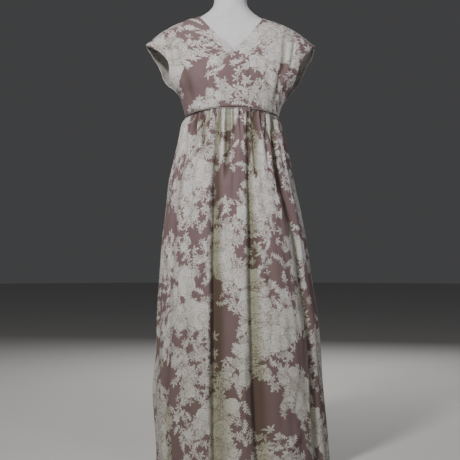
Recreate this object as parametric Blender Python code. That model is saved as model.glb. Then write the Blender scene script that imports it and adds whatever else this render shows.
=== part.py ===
"""Long high-waisted dress with cap sleeves and a gathered skirt, worn by a limbless dress form on a stand.

Metres, +Z up, the front of the dress towards -Y. The origin is the centre of the base plate's underside.
The bodice is one family of level rings round the form: open at the sleeves, neck and waist, and cut into a
front and a back at the shoulder and side seams. The skirt is a second family of rings, gathered at the top
and falling into long uneven folds.
"""
import math
from collections import namedtuple

import bmesh
import bpy
from mathutils import Vector

# Driving sizes of the cloth
CLOTH = 0.0016              # wall of the bodice
SKIRT_CLOTH = 0.0020        # wall of the skirt, measured towards the form
SEAM_GAP = 0.0004           # between two pieces that meet at a seam
HEM_HEIGHT = 0.012          # hem above the floor
WAIST_SIDE = 1.1665         # height of the waist seam at the side seams
WAIST_RISE = 0.0215         # how much higher the seam is at centre front
WAIST_RISE_POWER = 2.4      # how flat the seam stays across the front
PIPING_RADIUS = 0.0011

# Neck and sleeves
V_BOTTOM = (0.012, 1.383)   # x and height of the point of the V
NECK_WIDTH = {-1: 0.107, 1: 0.1115}   # from the centre to where the neck meets each shoulder seam
BACK_NECK_HEIGHT = 1.478
SLEEVE_TIP = (0.2835, 1.4075)
SHOULDER_DROP = 0.0065      # the right shoulder hangs this much lower than the left
UNDERARM_HEIGHT = {-1: 1.243, 1: 1.214}   # left and right of the picture
FRONT_CUT = {-1: 0.073, 1: 0.066}         # how far the sleeve edge lies in front of the side seam
BACK_CUT = 0.030                          # and how far behind it

# Stand
BASE_RADIUS = 0.165
BASE_THICKNESS = 0.008
POLE_RADIUS = 0.014
FORM_BOTTOM = 0.860
CAP_THICKNESS = 0.006

# Grid of the cloth panels. The bodice's rows are shares of the way from the waist to the shoulder seam,
# closer together where the cloth turns over the shoulder.
BODICE_STEPS = (
    0.0, 0.085, 0.17, 0.25, 0.335, 0.42, 0.5, 0.585, 0.67, 0.75, 0.83, 0.89, 0.935, 0.967, 0.9875, 0.997, 1.0,
)
BODICE_COLUMNS = 14         # from centre to side, on each side
UNDERARM_SHARE = 0.25       # share at which the side seam ends and the sleeve's edge begins
NECK_SHARE = {-1: 0.5, 1: 0.75}   # share at which the centre line ends and the neck begins, front and back
GATHERS = 22                # in each skirt panel
COLUMNS_PER_GATHER = 4
FORM_SIDES = 32

FRONT, BACK = -1, 1

# Squareness is the power of the ring's rounded-off ellipse: 2 is a true ellipse
Ring = namedtuple("Ring", "height left right front back squareness", defaults=(2.3,))

FORM_RINGS = (
    Ring(0.8600, 0.1600, 0.1600, 0.1080, 0.1120),
    Ring(0.8750, 0.1700, 0.1700, 0.1150, 0.1180),
    Ring(0.9600, 0.1740, 0.1740, 0.1160, 0.1200),
    Ring(1.0400, 0.1500, 0.1500, 0.1040, 0.0980),
    Ring(1.0900, 0.1300, 0.1300, 0.0950, 0.0840),
    Ring(1.1500, 0.1340, 0.1340, 0.1020, 0.0860),
    Ring(1.2000, 0.1420, 0.1420, 0.1120, 0.0910),
    Ring(1.2400, 0.1490, 0.1490, 0.1190, 0.0960),
    Ring(1.2700, 0.1520, 0.1520, 0.1220, 0.1000),
    Ring(1.3100, 0.1570, 0.1570, 0.1160, 0.1040),
    Ring(1.3500, 0.1660, 0.1660, 0.1050, 0.1050),
    Ring(1.3900, 0.1810, 0.1810, 0.0930, 0.1020),
    Ring(1.4300, 0.1890, 0.1890, 0.0815, 0.0940),
    Ring(1.4470, 0.1880, 0.1880, 0.0765, 0.0880),
    Ring(1.4620, 0.1840, 0.1840, 0.0715, 0.0830),
    Ring(1.4740, 0.1760, 0.1760, 0.0680, 0.0790),
    Ring(1.4813, 0.1660, 0.1660, 0.0660, 0.0770),
    Ring(1.4916, 0.1370, 0.1370, 0.0625, 0.0730),
    Ring(1.4980, 0.1085, 0.1085, 0.0605, 0.0700),
    Ring(1.5046, 0.0975, 0.0975, 0.0590, 0.0680),
    Ring(1.5180, 0.0755, 0.0755, 0.0560, 0.0640, 2.15),
    Ring(1.5315, 0.0625, 0.0625, 0.0535, 0.0600, 2.0),
    Ring(1.5447, 0.0555, 0.0555, 0.0525, 0.0580, 2.0),
    Ring(1.5650, 0.0540, 0.0540, 0.0520, 0.0570, 2.0),
    Ring(1.5880, 0.0535, 0.0535, 0.0515, 0.0565, 2.0),
)

BODICE_RINGS = (
    Ring(1.1550, 0.1475, 0.1590, 0.1155, 0.1010),
    Ring(1.1666, 0.1500, 0.1610, 0.1180, 0.1040),
    Ring(1.1920, 0.1570, 0.1680, 0.1215, 0.1080),
    Ring(1.2140, 0.1630, 0.1790, 0.1245, 0.1110),
    Ring(1.2430, 0.1760, 0.2030, 0.1265, 0.1130),
    Ring(1.2730, 0.2090, 0.2280, 0.1275, 0.1145),
    Ring(1.3000, 0.2300, 0.2440, 0.1255, 0.1160),
    Ring(1.3430, 0.2480, 0.2630, 0.1135, 0.1150),
    Ring(1.3730, 0.2660, 0.2770, 0.1025, 0.1115),
    Ring(1.4075, 0.2835, 0.2835, 0.0920, 0.1055),
    Ring(1.4220, 0.2650, 0.2650, 0.0870, 0.1010),
    Ring(1.4440, 0.2395, 0.2395, 0.0803, 0.0935),
    Ring(1.4665, 0.2035, 0.2035, 0.0750, 0.0865),
    Ring(1.4835, 0.1660, 0.1660, 0.0700, 0.0810),
    Ring(1.4940, 0.1370, 0.1370, 0.0660, 0.0765),
    Ring(1.5013, 0.1060, 0.1060, 0.0635, 0.0735),
)
SKIRT_RINGS = (
    Ring(0.0100, 0.2475, 0.3340, 0.2340, 0.2500, 2.1),
    Ring(0.0730, 0.2496, 0.3280, 0.2300, 0.2460, 2.1),
    Ring(0.1890, 0.2580, 0.3160, 0.2230, 0.2390, 2.1),
    Ring(0.2670, 0.2600, 0.3100, 0.2190, 0.2340, 2.1),
    Ring(0.3510, 0.2520, 0.3050, 0.2140, 0.2280, 2.1),
    Ring(0.4885, 0.2465, 0.2940, 0.2050, 0.2170, 2.1),
    Ring(0.6360, 0.2370, 0.2700, 0.1930, 0.2030, 2.1),
    Ring(0.7400, 0.2300, 0.2570, 0.1840, 0.1920, 2.1),
    Ring(0.8470, 0.2180, 0.2360, 0.1730, 0.1780, 2.1),
    Ring(0.9440, 0.2080, 0.2130, 0.1620, 0.1640, 2.1),
    Ring(1.0090, 0.1930, 0.2000, 0.1530, 0.1490, 2.1),
    Ring(1.0750, 0.1770, 0.1880, 0.1430, 0.1350, 2.1),
    Ring(1.1130, 0.1680, 0.1760, 0.1345, 0.1240, 2.1),
    Ring(1.1400, 0.1610, 0.1670, 0.1275, 0.1150, 2.1),
    Ring(1.1650, 0.1500, 0.1610, 0.1180, 0.1045, 2.1),
    Ring(1.1900, 0.1500, 0.1610, 0.1215, 0.1045, 2.1),
)

# Folds of the skirt. Angles are degrees from the panel's centre at the top, half-way and at the hem, and
# depths are millimetres there. Lean is degrees by which the fold's wall is pushed over at its deepest.
Fold = namedtuple("Fold", "top_angle mid_angle hem_angle width top_depth mid_depth hem_depth lean")

FRONT_FOLDS = (
    Fold(-74, -75, -76, 5.0, 3, 8, 12, 0.0),
    Fold(-56, -54, -55, 5.0, 3, 6, 20, -1.2),
    Fold(-38, -36, -35, 6.0, 5, 8, 5, 0.0),
    Fold(-18, -13, -12, 7.0, 8, 26, 32, -1.8),
    Fold(3, 1, -1, 5.0, 7, 5, 6, 0.0),
    Fold(18, 12, 15, 6.5, 8, 22, 27, -1.4),
    Fold(29, 26, 29, 6.0, 8, 6, 4, 0.0),
    Fold(44, 63, 61, 7.0, 5, 18, 18, 1.0),
    Fold(74, 78, 78, 4.5, 4, 10, 14, 0.0),
)
BACK_FOLDS = (
    Fold(-70, -72, -74, 6.0, 3, 10, 13, 0.0),
    Fold(-47, -46, -50, 8.0, 6, 18, 26, 1.2),
    Fold(-26, -24, -27, 6.0, 7, 10, 12, 0.0),
    Fold(-7, -9, -6, 7.5, 7, 22, 29, -1.4),
    Fold(16, 13, 17, 6.0, 6, 12, 14, 0.0),
    Fold(35, 36, 35, 8.0, 7, 20, 28, 1.3),
    Fold(57, 58, 62, 6.5, 4, 14, 20, -0.8),
    Fold(76, 77, 79, 5.0, 3, 9, 12, 0.0),
)

# Share of the skirt's length at each ring of the panel. The gathers need the closer first rings, and the
# rings from GATHERED_RINGS on have half as many points.
SKIRT_STEPS = (0.0, 0.012, 0.035, 0.075, 0.125, 0.185, 0.265, 0.36, 0.46, 0.56, 0.67, 0.78, 0.89, 1.0)
GATHERED_RINGS = 6

# Creases that hang from the shoulders of the bodice: ends in x and height, half-width and depth in mm
Crease = namedtuple("Crease", "x_top z_top x_low z_low width depth")

FRONT_CREASES = (
    Crease(-0.215, 1.450, -0.186, 1.330, 14, 6.5),
    Crease(-0.165, 1.330, -0.132, 1.215, 13, 6.0),
    Crease(-0.118, 1.330, -0.113, 1.200, 12, 4.0),
    Crease(0.190, 1.445, 0.168, 1.300, 17, 7.5),
    Crease(0.178, 1.330, 0.137, 1.205, 13, 6.5),
    Crease(0.042, 1.350, 0.118, 1.215, 12, 3.5),
)
BACK_CREASES = (
    Crease(-0.200, 1.440, -0.165, 1.290, 16, 6.0),
    Crease(0.200, 1.440, 0.165, 1.290, 16, 6.5),
    Crease(-0.060, 1.330, -0.070, 1.190, 14, 4.0),
    Crease(0.066, 1.320, 0.062, 1.190, 14, 4.0),
)


def between(rows, column, height):
    """The value of a column at a height: a smooth curve through the rows that never overshoots them."""
    index = 0
    while index < len(rows) - 2 and height > rows[index + 1].height:
        index += 1

    def slope(k):
        step = rows[k + 1].height - rows[k].height
        return (getattr(rows[k + 1], column) - getattr(rows[k], column)) / step

    def tangent(k):
        if k == 0:
            return slope(0)
        if k == len(rows) - 1:
            return slope(k - 1)
        before, after = slope(k - 1), slope(k)
        if before * after <= 0.0:
            return 0.0
        return 2.0 * before * after / (before + after)

    low, high = rows[index], rows[index + 1]
    span = high.height - low.height
    t = min(1.0, max(0.0, (height - low.height) / span))
    a, b = getattr(low, column), getattr(high, column)
    return (
        a * (2 * t**3 - 3 * t**2 + 1)
        + tangent(index) * span * (t**3 - 2 * t**2 + t)
        + b * (3 * t**2 - 2 * t**3)
        + tangent(index + 1) * span * (t**3 - t**2)
    )


def mix(a, b, share):
    return a + (b - a) * share


def shoulder_drop(x, height):
    """How far a place is lowered, because the right shoulder hangs lower."""
    across = min(1.0, max(0.0, (x - 0.03) / 0.10))
    up = min(1.0, max(0.0, (height - 1.30) / 0.12))
    return SHOULDER_DROP * across * up


def rounded_off(share, power):
    """The other half-size of a ring, as a share of its whole, at a share of the first one."""
    return (1.0 - share**power) ** (1.0 / power)


def signed_power(value, power):
    return math.copysign(abs(value) ** power, value)


def ring_point(rows, height, angle):
    """A point of a ring at an angle in radians: 0 at centre front, a right angle at the right side seam."""
    side = "right" if math.sin(angle) >= 0.0 else "left"
    face = "front" if math.cos(angle) >= 0.0 else "back"
    power = between(rows, "squareness", height)
    x = between(rows, side, height) * signed_power(math.sin(angle), 2.0 / power)
    y = -between(rows, face, height) * signed_power(math.cos(angle), 2.0 / power)
    return x, y


def waist_height(angle):
    """Height of the waist seam: it rises over the front and stays level across the back."""
    if math.cos(angle) <= 0.0:
        return WAIST_SIDE
    return WAIST_SIDE + WAIST_RISE * (1.0 - abs(math.sin(angle)) ** WAIST_RISE_POWER)


def ridge_height(x):
    """Height of the shoulder seam at a distance from the centre line, found by halving."""
    low, high = SLEEVE_TIP[1], BODICE_RINGS[-1].height
    for _ in range(40):
        middle = (low + high) / 2.0
        if between(BODICE_RINGS, "left", middle) > x:
            low = middle
        else:
            high = middle
    return (low + high) / 2.0


def bodice_depth(face, side, x, height):
    """How far in front of or behind the side seam the bodice lies at a place seen from the front."""
    half = between(BODICE_RINGS, "right" if side > 0 else "left", height)
    depth = between(BODICE_RINGS, "front" if face == FRONT else "back", height)
    return depth * rounded_off(min(1.0, abs(x) / half), between(BODICE_RINGS, "squareness", height))


def crease_offset(creases, x, height):
    """How far the creases push the cloth in at a place, in metres."""
    total = 0.0
    for crease in creases:
        along_x, along_z = crease.x_low - crease.x_top, crease.z_low - crease.z_top
        length = math.hypot(along_x, along_z)
        share = ((x - crease.x_top) * along_x + (height - crease.z_top) * along_z) / length**2
        off = ((x - crease.x_top) * along_z - (height - crease.z_top) * along_x) / length
        fade = math.sin(math.pi * min(1.0, max(0.0, share))) ** 0.7
        total += crease.depth / 1000.0 * fade * math.exp(-(off / (crease.width / 1000.0)) ** 2)
    return total


def sleeve_edge(face, side, share):
    """x and height of the sleeve's edge, from the underarm at share 0 to the tip of the sleeve at 1."""
    under = UNDERARM_HEIGHT[side]
    middle, reach = (under + SLEEVE_TIP[1]) / 2.0, (SLEEVE_TIP[1] - under) / 2.0
    turn = math.pi * share
    height = middle - reach * math.cos(turn)
    cut = (FRONT_CUT[side] if face == FRONT else BACK_CUT) * math.sin(turn)
    half = between(BODICE_RINGS, "right" if side > 0 else "left", height)
    depth = between(BODICE_RINGS, "front" if face == FRONT else "back", height)
    return half * rounded_off(min(1.0, cut / depth), between(BODICE_RINGS, "squareness", height)), height


def centre_edge(face, side, v):
    """x (positive outwards) and height of the centre line and then the neck edge, for v from 0 to 1."""
    bottom_height = waist_height(0.0 if face == FRONT else math.pi)
    split = NECK_SHARE[face]
    x_split, z_split = (V_BOTTOM[0] * side, V_BOTTOM[1]) if face == FRONT else (0.0, BACK_NECK_HEIGHT)
    if v <= split:
        return x_split * v / split, mix(bottom_height, z_split, v / split)
    t = (v - split) / (1.0 - split)
    x_top = NECK_WIDTH[side]
    z_top = ridge_height(x_top)
    if face == FRONT:
        bow = 0.0035 * math.sin(math.pi * t)
        return mix(x_split, x_top, t) + bow, mix(z_split, z_top, t) - bow
    return mix(x_split, x_top, t), mix(z_split, z_top, t**2.2)


def side_edge(face, side, v):
    """x and height of the side seam and then the sleeve's edge, for v from 0 to 1."""
    if v <= UNDERARM_SHARE:
        height = mix(WAIST_SIDE, UNDERARM_HEIGHT[side], v / UNDERARM_SHARE)
        return between(BODICE_RINGS, "right" if side > 0 else "left", height), height
    return sleeve_edge(face, side, (v - UNDERARM_SHARE) / (1.0 - UNDERARM_SHARE))


def bodice_point(face, side, u, v):
    """A point of the bodice's outside: u runs from the centre to the side, v from waist to shoulder."""
    half = between(BODICE_RINGS, "right" if side > 0 else "left", WAIST_SIDE)
    angle = u * math.pi / 2.0
    waist_x = half * math.sin(angle) ** (2.0 / between(BODICE_RINGS, "squareness", WAIST_SIDE))
    waist_z = waist_height(angle if face == FRONT else math.pi - angle)
    top_x = mix(NECK_WIDTH[side], SLEEVE_TIP[0], u)
    top_z = ridge_height(top_x)
    centre, edge = centre_edge(face, side, v), side_edge(face, side, v)
    corners = (
        (0.0, waist_height(0.0 if face == FRONT else math.pi)),
        (half, WAIST_SIDE),
        (NECK_WIDTH[side], ridge_height(NECK_WIDTH[side])),
        SLEEVE_TIP,
    )
    place = []
    for axis, waist, top in ((0, waist_x, top_x), (1, waist_z, top_z)):
        across = mix(centre[axis], edge[axis], u)
        up = mix(waist, top, v)
        flat = mix(mix(corners[0][axis], corners[1][axis], u), mix(corners[2][axis], corners[3][axis], u), v)
        place.append(across + up - flat)
    x, z = place
    z = min(z, top_z) if v == 1.0 else z
    depth = 0.0 if (v == 1.0 or (u == 1.0 and v <= UNDERARM_SHARE)) else bodice_depth(face, side, x, z)
    creases = FRONT_CREASES if face == FRONT else BACK_CREASES
    fade = min(1.0, v / 0.08) * min(1.0, depth / 0.03)
    depth -= crease_offset(creases, side * x, z) * fade
    z -= shoulder_drop(side * x, z)
    return Vector((side * x, face * max(depth, SEAM_GAP / 2.0), z))


def bodice_normal(face, side, u, v):
    """Outward direction at a point of the bodice, level across the seams so that their edges stay flat."""
    step = 0.004
    across = bodice_point(face, side, min(1.0, u + step), v) - bodice_point(face, side, max(0.0, u - step), v)
    up = bodice_point(face, side, u, min(1.0, v + step)) - bodice_point(face, side, u, max(0.0, v - step))
    normal = across.cross(up).normalized() * (-side * face)
    if v == 1.0 or (u == 1.0 and v <= UNDERARM_SHARE):
        normal.y = 0.0
        if v == 1.0:
            near = bodice_point(face, side, max(0.0, u - 0.02), 1.0)
            far = bodice_point(face, side, min(1.0, u + 0.02), 1.0)
            normal = Vector((near.z - far.z, 0.0, far.x - near.x)) * side
        normal.normalize()
    return normal


def clear_scene():
    for item in list(bpy.data.objects):
        bpy.data.objects.remove(item, do_unlink=True)


def finish(name, mesh_data, material, smooth_angle=40.0):
    """Makes one named object with its material from a finished bmesh."""
    bmesh.ops.recalc_face_normals(mesh_data, faces=mesh_data.faces)
    mesh = bpy.data.meshes.new(name)
    mesh_data.to_mesh(mesh)
    mesh_data.free()
    mesh.materials.append(material)
    mesh.shade_smooth()
    mesh.set_sharp_from_angle(angle=math.radians(smooth_angle))
    made = bpy.data.objects.new(name, mesh)
    bpy.context.scene.collection.objects.link(made)
    return made


def cloth_wall(name, outside, inside, triangles, material):
    """Closes an open sheet of triangles and its inner copy into one wall, along all their free edges."""
    shape = bmesh.new()
    outer = [shape.verts.new(point) for point in outside]
    inner = [shape.verts.new(point) for point in inside]
    free = {}
    for a, b, c in triangles:
        shape.faces.new((outer[a], outer[b], outer[c]))
        shape.faces.new((inner[c], inner[b], inner[a]))
        for edge in ((a, b), (b, c), (c, a)):
            if edge[::-1] in free:
                del free[edge[::-1]]
            else:
                free[edge] = True
    for a, b in free:
        shape.faces.new((outer[b], outer[a], inner[a]))
        shape.faces.new((outer[b], inner[a], inner[b]))
    return finish(name, shape, material)


def bodice_panel(name, face, material):
    """Front or back of the bodice, with its halves of the two cap sleeves."""
    outside, inside, index = [], [], {}
    for side in (-1, 1):
        for row, v in enumerate(BODICE_STEPS):
            for column in range(BODICE_COLUMNS + 1):
                if side == 1 and column == 0 and v <= NECK_SHARE[face]:
                    index[side, row, column] = index[-1, row, column]
                    continue
                u = column / BODICE_COLUMNS
                point = bodice_point(face, side, u, v)
                if row == 0:
                    point.z += PIPING_RADIUS + SEAM_GAP
                index[side, row, column] = len(outside)
                outside.append(point)
                inside.append(point - bodice_normal(face, side, u, v) * CLOTH)
    triangles = []
    for side in (-1, 1):
        for row in range(len(BODICE_STEPS) - 1):
            for column in range(BODICE_COLUMNS):
                a, b = index[side, row, column], index[side, row, column + 1]
                c, d = index[side, row + 1, column + 1], index[side, row + 1, column]
                quad = ((a, b, c), (a, c, d))
                if side * face > 0:
                    quad = tuple(corner[::-1] for corner in quad)
                triangles.extend(quad)
    return cloth_wall(name, outside, inside, triangles, material)


def gather_angle(face, share):
    """Angle from the panel's centre, in degrees, of a point at a share of the panel's width."""
    even = -90.0 + 180.0 * share
    drift = 1.5 * math.sin(7.0 * math.pi * share + 0.6 * face) + 0.8 * math.sin(17.0 * math.pi * share)
    return even + drift * math.sin(math.pi * share) ** 0.5


def fold_curve(fold, top, middle, hem):
    """Weights a fold's three values by a smooth curve down the skirt."""
    return fold[0] * top + fold[1] * middle + fold[2] * hem


def skirt_offset(face, share, angle, down):
    """Offset of the skirt's outside from its ring, in metres, and sideways lean in degrees."""
    gather_phase = 2.0 * math.pi * GATHERS * share
    uneven = 1.0 + 0.35 * math.sin(5.3 * math.pi * share + face) + 0.25 * math.sin(13.0 * math.pi * share)
    swell = min(1.0, down / 0.05)
    gather = (0.0014 + 0.0020 * swell) * uneven * max(0.0, 1.0 - down / 0.30) ** 1.5
    offset = gather * math.cos(gather_phase)
    lean = 0.0
    weights = ((1 - down) * (1 - 2 * down), 4 * down * (1 - down), down * (2 * down - 1))
    for fold in FRONT_FOLDS if face == FRONT else BACK_FOLDS:
        centre = fold_curve((fold.top_angle, fold.mid_angle, fold.hem_angle), *weights)
        depth = max(0.0, fold_curve((fold.top_depth, fold.mid_depth, fold.hem_depth), *weights))
        depth *= min(1.0, down / 0.06) / 1000.0
        width = fold.width * (0.75 + 0.35 * down)
        bell = math.exp(-(((angle - centre) / width) ** 2))
        offset -= depth * bell
        lean += fold.lean * bell * min(1.0, down / 0.4)
    return offset, lean


def skirt_point(face, share, down, inset):
    """A point of the skirt, at a share of the panel's width and of its length, moved in by the inset."""
    local = gather_angle(face, share)
    offset, lean = skirt_offset(face, share, local, down)
    turn = math.radians(local + lean * math.sin(math.pi * share) ** 0.5)
    angle = turn if face == FRONT else math.pi - turn
    top = waist_height(angle) - PIPING_RADIUS - SEAM_GAP
    height = mix(top, HEM_HEIGHT, down)
    x, y = ring_point(SKIRT_RINGS, height, angle)
    ahead = ring_point(SKIRT_RINGS, height, angle + 0.01)
    behind = ring_point(SKIRT_RINGS, height, angle - 0.01)
    outward = Vector((behind[1] - ahead[1], ahead[0] - behind[0], 0.0)).normalized() * -1.0
    if share in (0.0, 1.0):
        outward = Vector((math.copysign(1.0, math.sin(angle)), 0.0, 0.0))
        offset = min(offset, 0.0)
    point = Vector((x, y, height)) + outward * (offset - inset)
    point.y = face * max(face * point.y, SEAM_GAP / 2.0)
    return point


def skirt_panel(name, face, material):
    """Front or back of the skirt. Its lower rings have half the points of the gathered ones."""
    columns = GATHERS * COLUMNS_PER_GATHER
    outside, inside, rows = [], [], []
    for ring, down in enumerate(SKIRT_STEPS):
        step = 1 if ring < GATHERED_RINGS else 2
        row = []
        for column in range(0, columns + 1, step):
            row.append(len(outside))
            outside.append(skirt_point(face, column / columns, down, 0.0))
            inside.append(skirt_point(face, column / columns, down, SKIRT_CLOTH))
        rows.append(row)
    triangles = []
    for upper, lower in zip(rows, rows[1:]):
        if len(upper) == len(lower):
            for k in range(len(upper) - 1):
                triangles.append((lower[k], lower[k + 1], upper[k + 1]))
                triangles.append((lower[k], upper[k + 1], upper[k]))
        else:
            for k in range(len(lower) - 1):
                triangles.append((lower[k], upper[2 * k + 1], upper[2 * k]))
                triangles.append((lower[k], lower[k + 1], upper[2 * k + 1]))
                triangles.append((lower[k + 1], upper[2 * k + 2], upper[2 * k + 1]))
    if face == BACK:
        triangles = [corner[::-1] for corner in triangles]
    return cloth_wall(name, outside, inside, triangles, material)


def waist_piping(material):
    """The fine piping in the waist seam: a closed cord that follows the seam all round."""
    points = 72
    curve = bpy.data.curves.new("waist_piping", "CURVE")
    curve.dimensions = "3D"
    curve.bevel_depth = PIPING_RADIUS
    curve.bevel_resolution = 1
    spline = curve.splines.new("POLY")
    spline.points.add(points - 1)
    for k in range(points):
        angle = 2.0 * math.pi * k / points
        height = waist_height(angle)
        x, y = ring_point(BODICE_RINGS, height, angle)
        inward = 1.0 - CLOTH / 2.0 / math.hypot(x, y)
        spline.points[k].co = (x * inward, y * inward, height, 1.0)
    spline.use_cyclic_u = True
    curve.materials.append(material)
    made = bpy.data.objects.new("waist_piping", curve)
    bpy.context.scene.collection.objects.link(made)
    return made


def turned_stack(name, rings, sides, material):
    """Closes a stack of level rings, with a flat face at each end."""
    shape = bmesh.new()
    loops = []
    for ring in rings:
        loop = []
        for k in range(sides):
            x, y = ring_point(rings, ring.height, 2.0 * math.pi * k / sides)
            loop.append(shape.verts.new((x, y, ring.height - shoulder_drop(x, ring.height))))
        loops.append(loop)
    for lower, upper in zip(loops, loops[1:]):
        for k in range(sides):
            after = (k + 1) % sides
            shape.faces.new((lower[k], lower[after], upper[after]))
            shape.faces.new((lower[k], upper[after], upper[k]))
    shape.faces.new(loops[0][::-1])
    shape.faces.new(loops[-1])
    return finish(name, shape, material)


def round_ring(height, radius):
    return Ring(height, radius, radius, radius, radius, 2.0)


def neck_cap(material):
    """The plain disc that closes the neck of the form."""
    top = FORM_RINGS[-1]
    low = top.height + SEAM_GAP
    rings = []
    for rise, inset in ((0.0, 0.0), (0.6, 0.0), (1.0, 0.004)):
        sizes = (top.left - inset, top.right - inset, top.front - inset, top.back - inset)
        rings.append(Ring(low + CAP_THICKNESS * rise, *sizes, 2.0))
    return turned_stack("neck_cap", rings, FORM_SIDES, material)


def stand(steel):
    """The base plate with a bevelled rim, and the pole that carries the form."""
    base = (
        round_ring(0.0, BASE_RADIUS),
        round_ring(BASE_THICKNESS * 0.6, BASE_RADIUS),
        round_ring(BASE_THICKNESS, BASE_RADIUS - 0.004),
    )
    turned_stack("stand_base", base, 40, steel)
    pole = (
        round_ring(BASE_THICKNESS + SEAM_GAP, POLE_RADIUS * 2.0),
        round_ring(BASE_THICKNESS + 0.018, POLE_RADIUS * 2.0),
        round_ring(BASE_THICKNESS + 0.026, POLE_RADIUS),
        round_ring(FORM_BOTTOM - SEAM_GAP, POLE_RADIUS),
    )
    turned_stack("stand_pole", pole, 20, steel)


def material(name, colour, roughness, metallic=0.0):
    made = bpy.data.materials.new(name)
    made.use_nodes = True
    shader = made.node_tree.nodes["Principled BSDF"]
    shader.inputs["Base Color"].default_value = (*colour, 1.0)
    shader.inputs["Roughness"].default_value = roughness
    shader.inputs["Metallic"].default_value = metallic
    return made


def main():
    clear_scene()
    print_cotton = material("printed_cotton", (0.47, 0.40, 0.38), 0.75)
    piping = material("dark_piping", (0.05, 0.05, 0.048), 0.7)
    cover = material("form_cover", (0.58, 0.58, 0.60), 0.85)
    cap = material("neck_cap_board", (0.52, 0.52, 0.53), 0.6)
    steel = material("black_steel", (0.03, 0.03, 0.032), 0.45, 1.0)
    turned_stack("form_torso", FORM_RINGS, FORM_SIDES, cover)
    neck_cap(cap)
    stand(steel)
    bodice_panel("bodice_front", FRONT, print_cotton)
    bodice_panel("bodice_back", BACK, print_cotton)
    waist_piping(piping)
    skirt_panel("skirt_front", FRONT, print_cotton)
    skirt_panel("skirt_back", BACK, print_cotton)


main()
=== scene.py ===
"""A long high-waisted floral dress on a limbless dress form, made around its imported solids.

The cloth is modelled as four cut panels: the front and back of the bodice with their cap sleeves, and the
front and back of the gathered skirt. Each is a thin shell through the same level rings as its solid.
"""

import math
from collections import namedtuple

import bpy
import numpy as np
from bpy.props import FloatProperty, PointerProperty, StringProperty
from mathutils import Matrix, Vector


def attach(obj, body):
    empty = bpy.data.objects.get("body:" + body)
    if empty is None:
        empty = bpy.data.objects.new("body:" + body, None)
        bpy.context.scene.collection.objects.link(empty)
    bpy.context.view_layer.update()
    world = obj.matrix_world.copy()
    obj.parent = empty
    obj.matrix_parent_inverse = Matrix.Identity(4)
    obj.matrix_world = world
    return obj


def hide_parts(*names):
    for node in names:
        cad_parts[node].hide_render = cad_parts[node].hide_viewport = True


bl_info = {
    "name": "Gathered floral dress",
    "version": (1, 0, 0),
    "blender": (4, 5, 0),
    "location": "View3D > Sidebar > Dress",
    "description": "Makes a long high-waisted dress, its form and its studio around the packed solids",
    "category": "Object",
}

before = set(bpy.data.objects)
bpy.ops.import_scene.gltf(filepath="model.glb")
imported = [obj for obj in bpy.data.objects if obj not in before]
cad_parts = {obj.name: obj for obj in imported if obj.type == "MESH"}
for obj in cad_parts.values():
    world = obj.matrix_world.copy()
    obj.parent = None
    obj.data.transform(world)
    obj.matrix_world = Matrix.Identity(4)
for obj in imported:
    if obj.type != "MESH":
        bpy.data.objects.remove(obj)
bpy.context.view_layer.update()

MM = 0.001
FRONT, BACK = -1, 1
LEFT, RIGHT = -1, 1

# Sizes of the cut, shared with the solids
WAIST_SIDE = 1.1665             # height of the waist seam at the side seams
WAIST_RISE = 0.0215             # how much higher it is at centre front
WAIST_RISE_POWER = 2.4
V_BOTTOM = (0.012, 1.383)       # x and height of the point of the V
NECK_WIDTH = {LEFT: 0.107, RIGHT: 0.1115}
BACK_NECK_HEIGHT = 1.478
SLEEVE_TIP = (0.2835, 1.4075)
SHOULDER_DROP = 0.0065          # the right shoulder hangs this much lower
UNDERARM_HEIGHT = {LEFT: 1.243, RIGHT: 1.214}
FRONT_CUT = {LEFT: 0.073, RIGHT: 0.066}
BACK_CUT = 0.030
UNDERARM_SHARE = 0.25
NECK_SHARE = {FRONT: 0.5, BACK: 0.75}
HEM_HEIGHT = 0.012
GATHERS = 22                    # in each skirt panel

# Seams, a little more open than those of the solids, and a finer piping
PIPING_RADIUS = 0.0009
SEAM_GAP = 0.0007               # from the piping to the bodice
SKIRT_GAP = 0.0005              # from the piping to the skirt
PIPING_OUT = 0.0002             # how far the piping stands out from the line of the seam

# Powers of the level rings' rounded-off ellipses, where 2 is a true ellipse
BODICE_POWER = 2.3
SKIRT_POWER = 2.1

# Fineness of the cloth's grids
BODICE_COLUMNS = 85             # in each half of a panel
BODICE_ROWS = 104
ROW_CROWDING = 2.3              # how much closer the rows are where the cloth turns over the shoulder
COLUMNS_PER_GATHER = 18
SKIRT_ROWS = 121

SEAM_X = 0.0065                 # the form's centre-front seam

# The camera stands level at mid-height, 4 m in front, and sees 1.541 m there
CAMERA_X = -0.0017
CAMERA_HEIGHT = 0.790
CAMERA_DISTANCE = 4.0
VIEW_WIDTH = 1.541

# Soft lights: place, aim, size in metres, power in watts, colour
LIGHTS = (
    ("key light", (-1.30, -2.60, 2.9), (0.0, 0.0, 1.45), 0.45, 98.0, "#fffcfa"),
    ("fill light", (1.6, -3.0, 1.45), (0.0, 0.0, 1.35), 1.0, 17.0, "#fafaff"),
    ("back light", (0.6, 3.2, 2.6), (0.0, 0.0, 0.9), 2.0, 75.0, "#ffffff"),
)

# Level rings: height, half-widths to the left and right, and depths in front and behind
Ring = namedtuple("Ring", "height left right front back")

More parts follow.
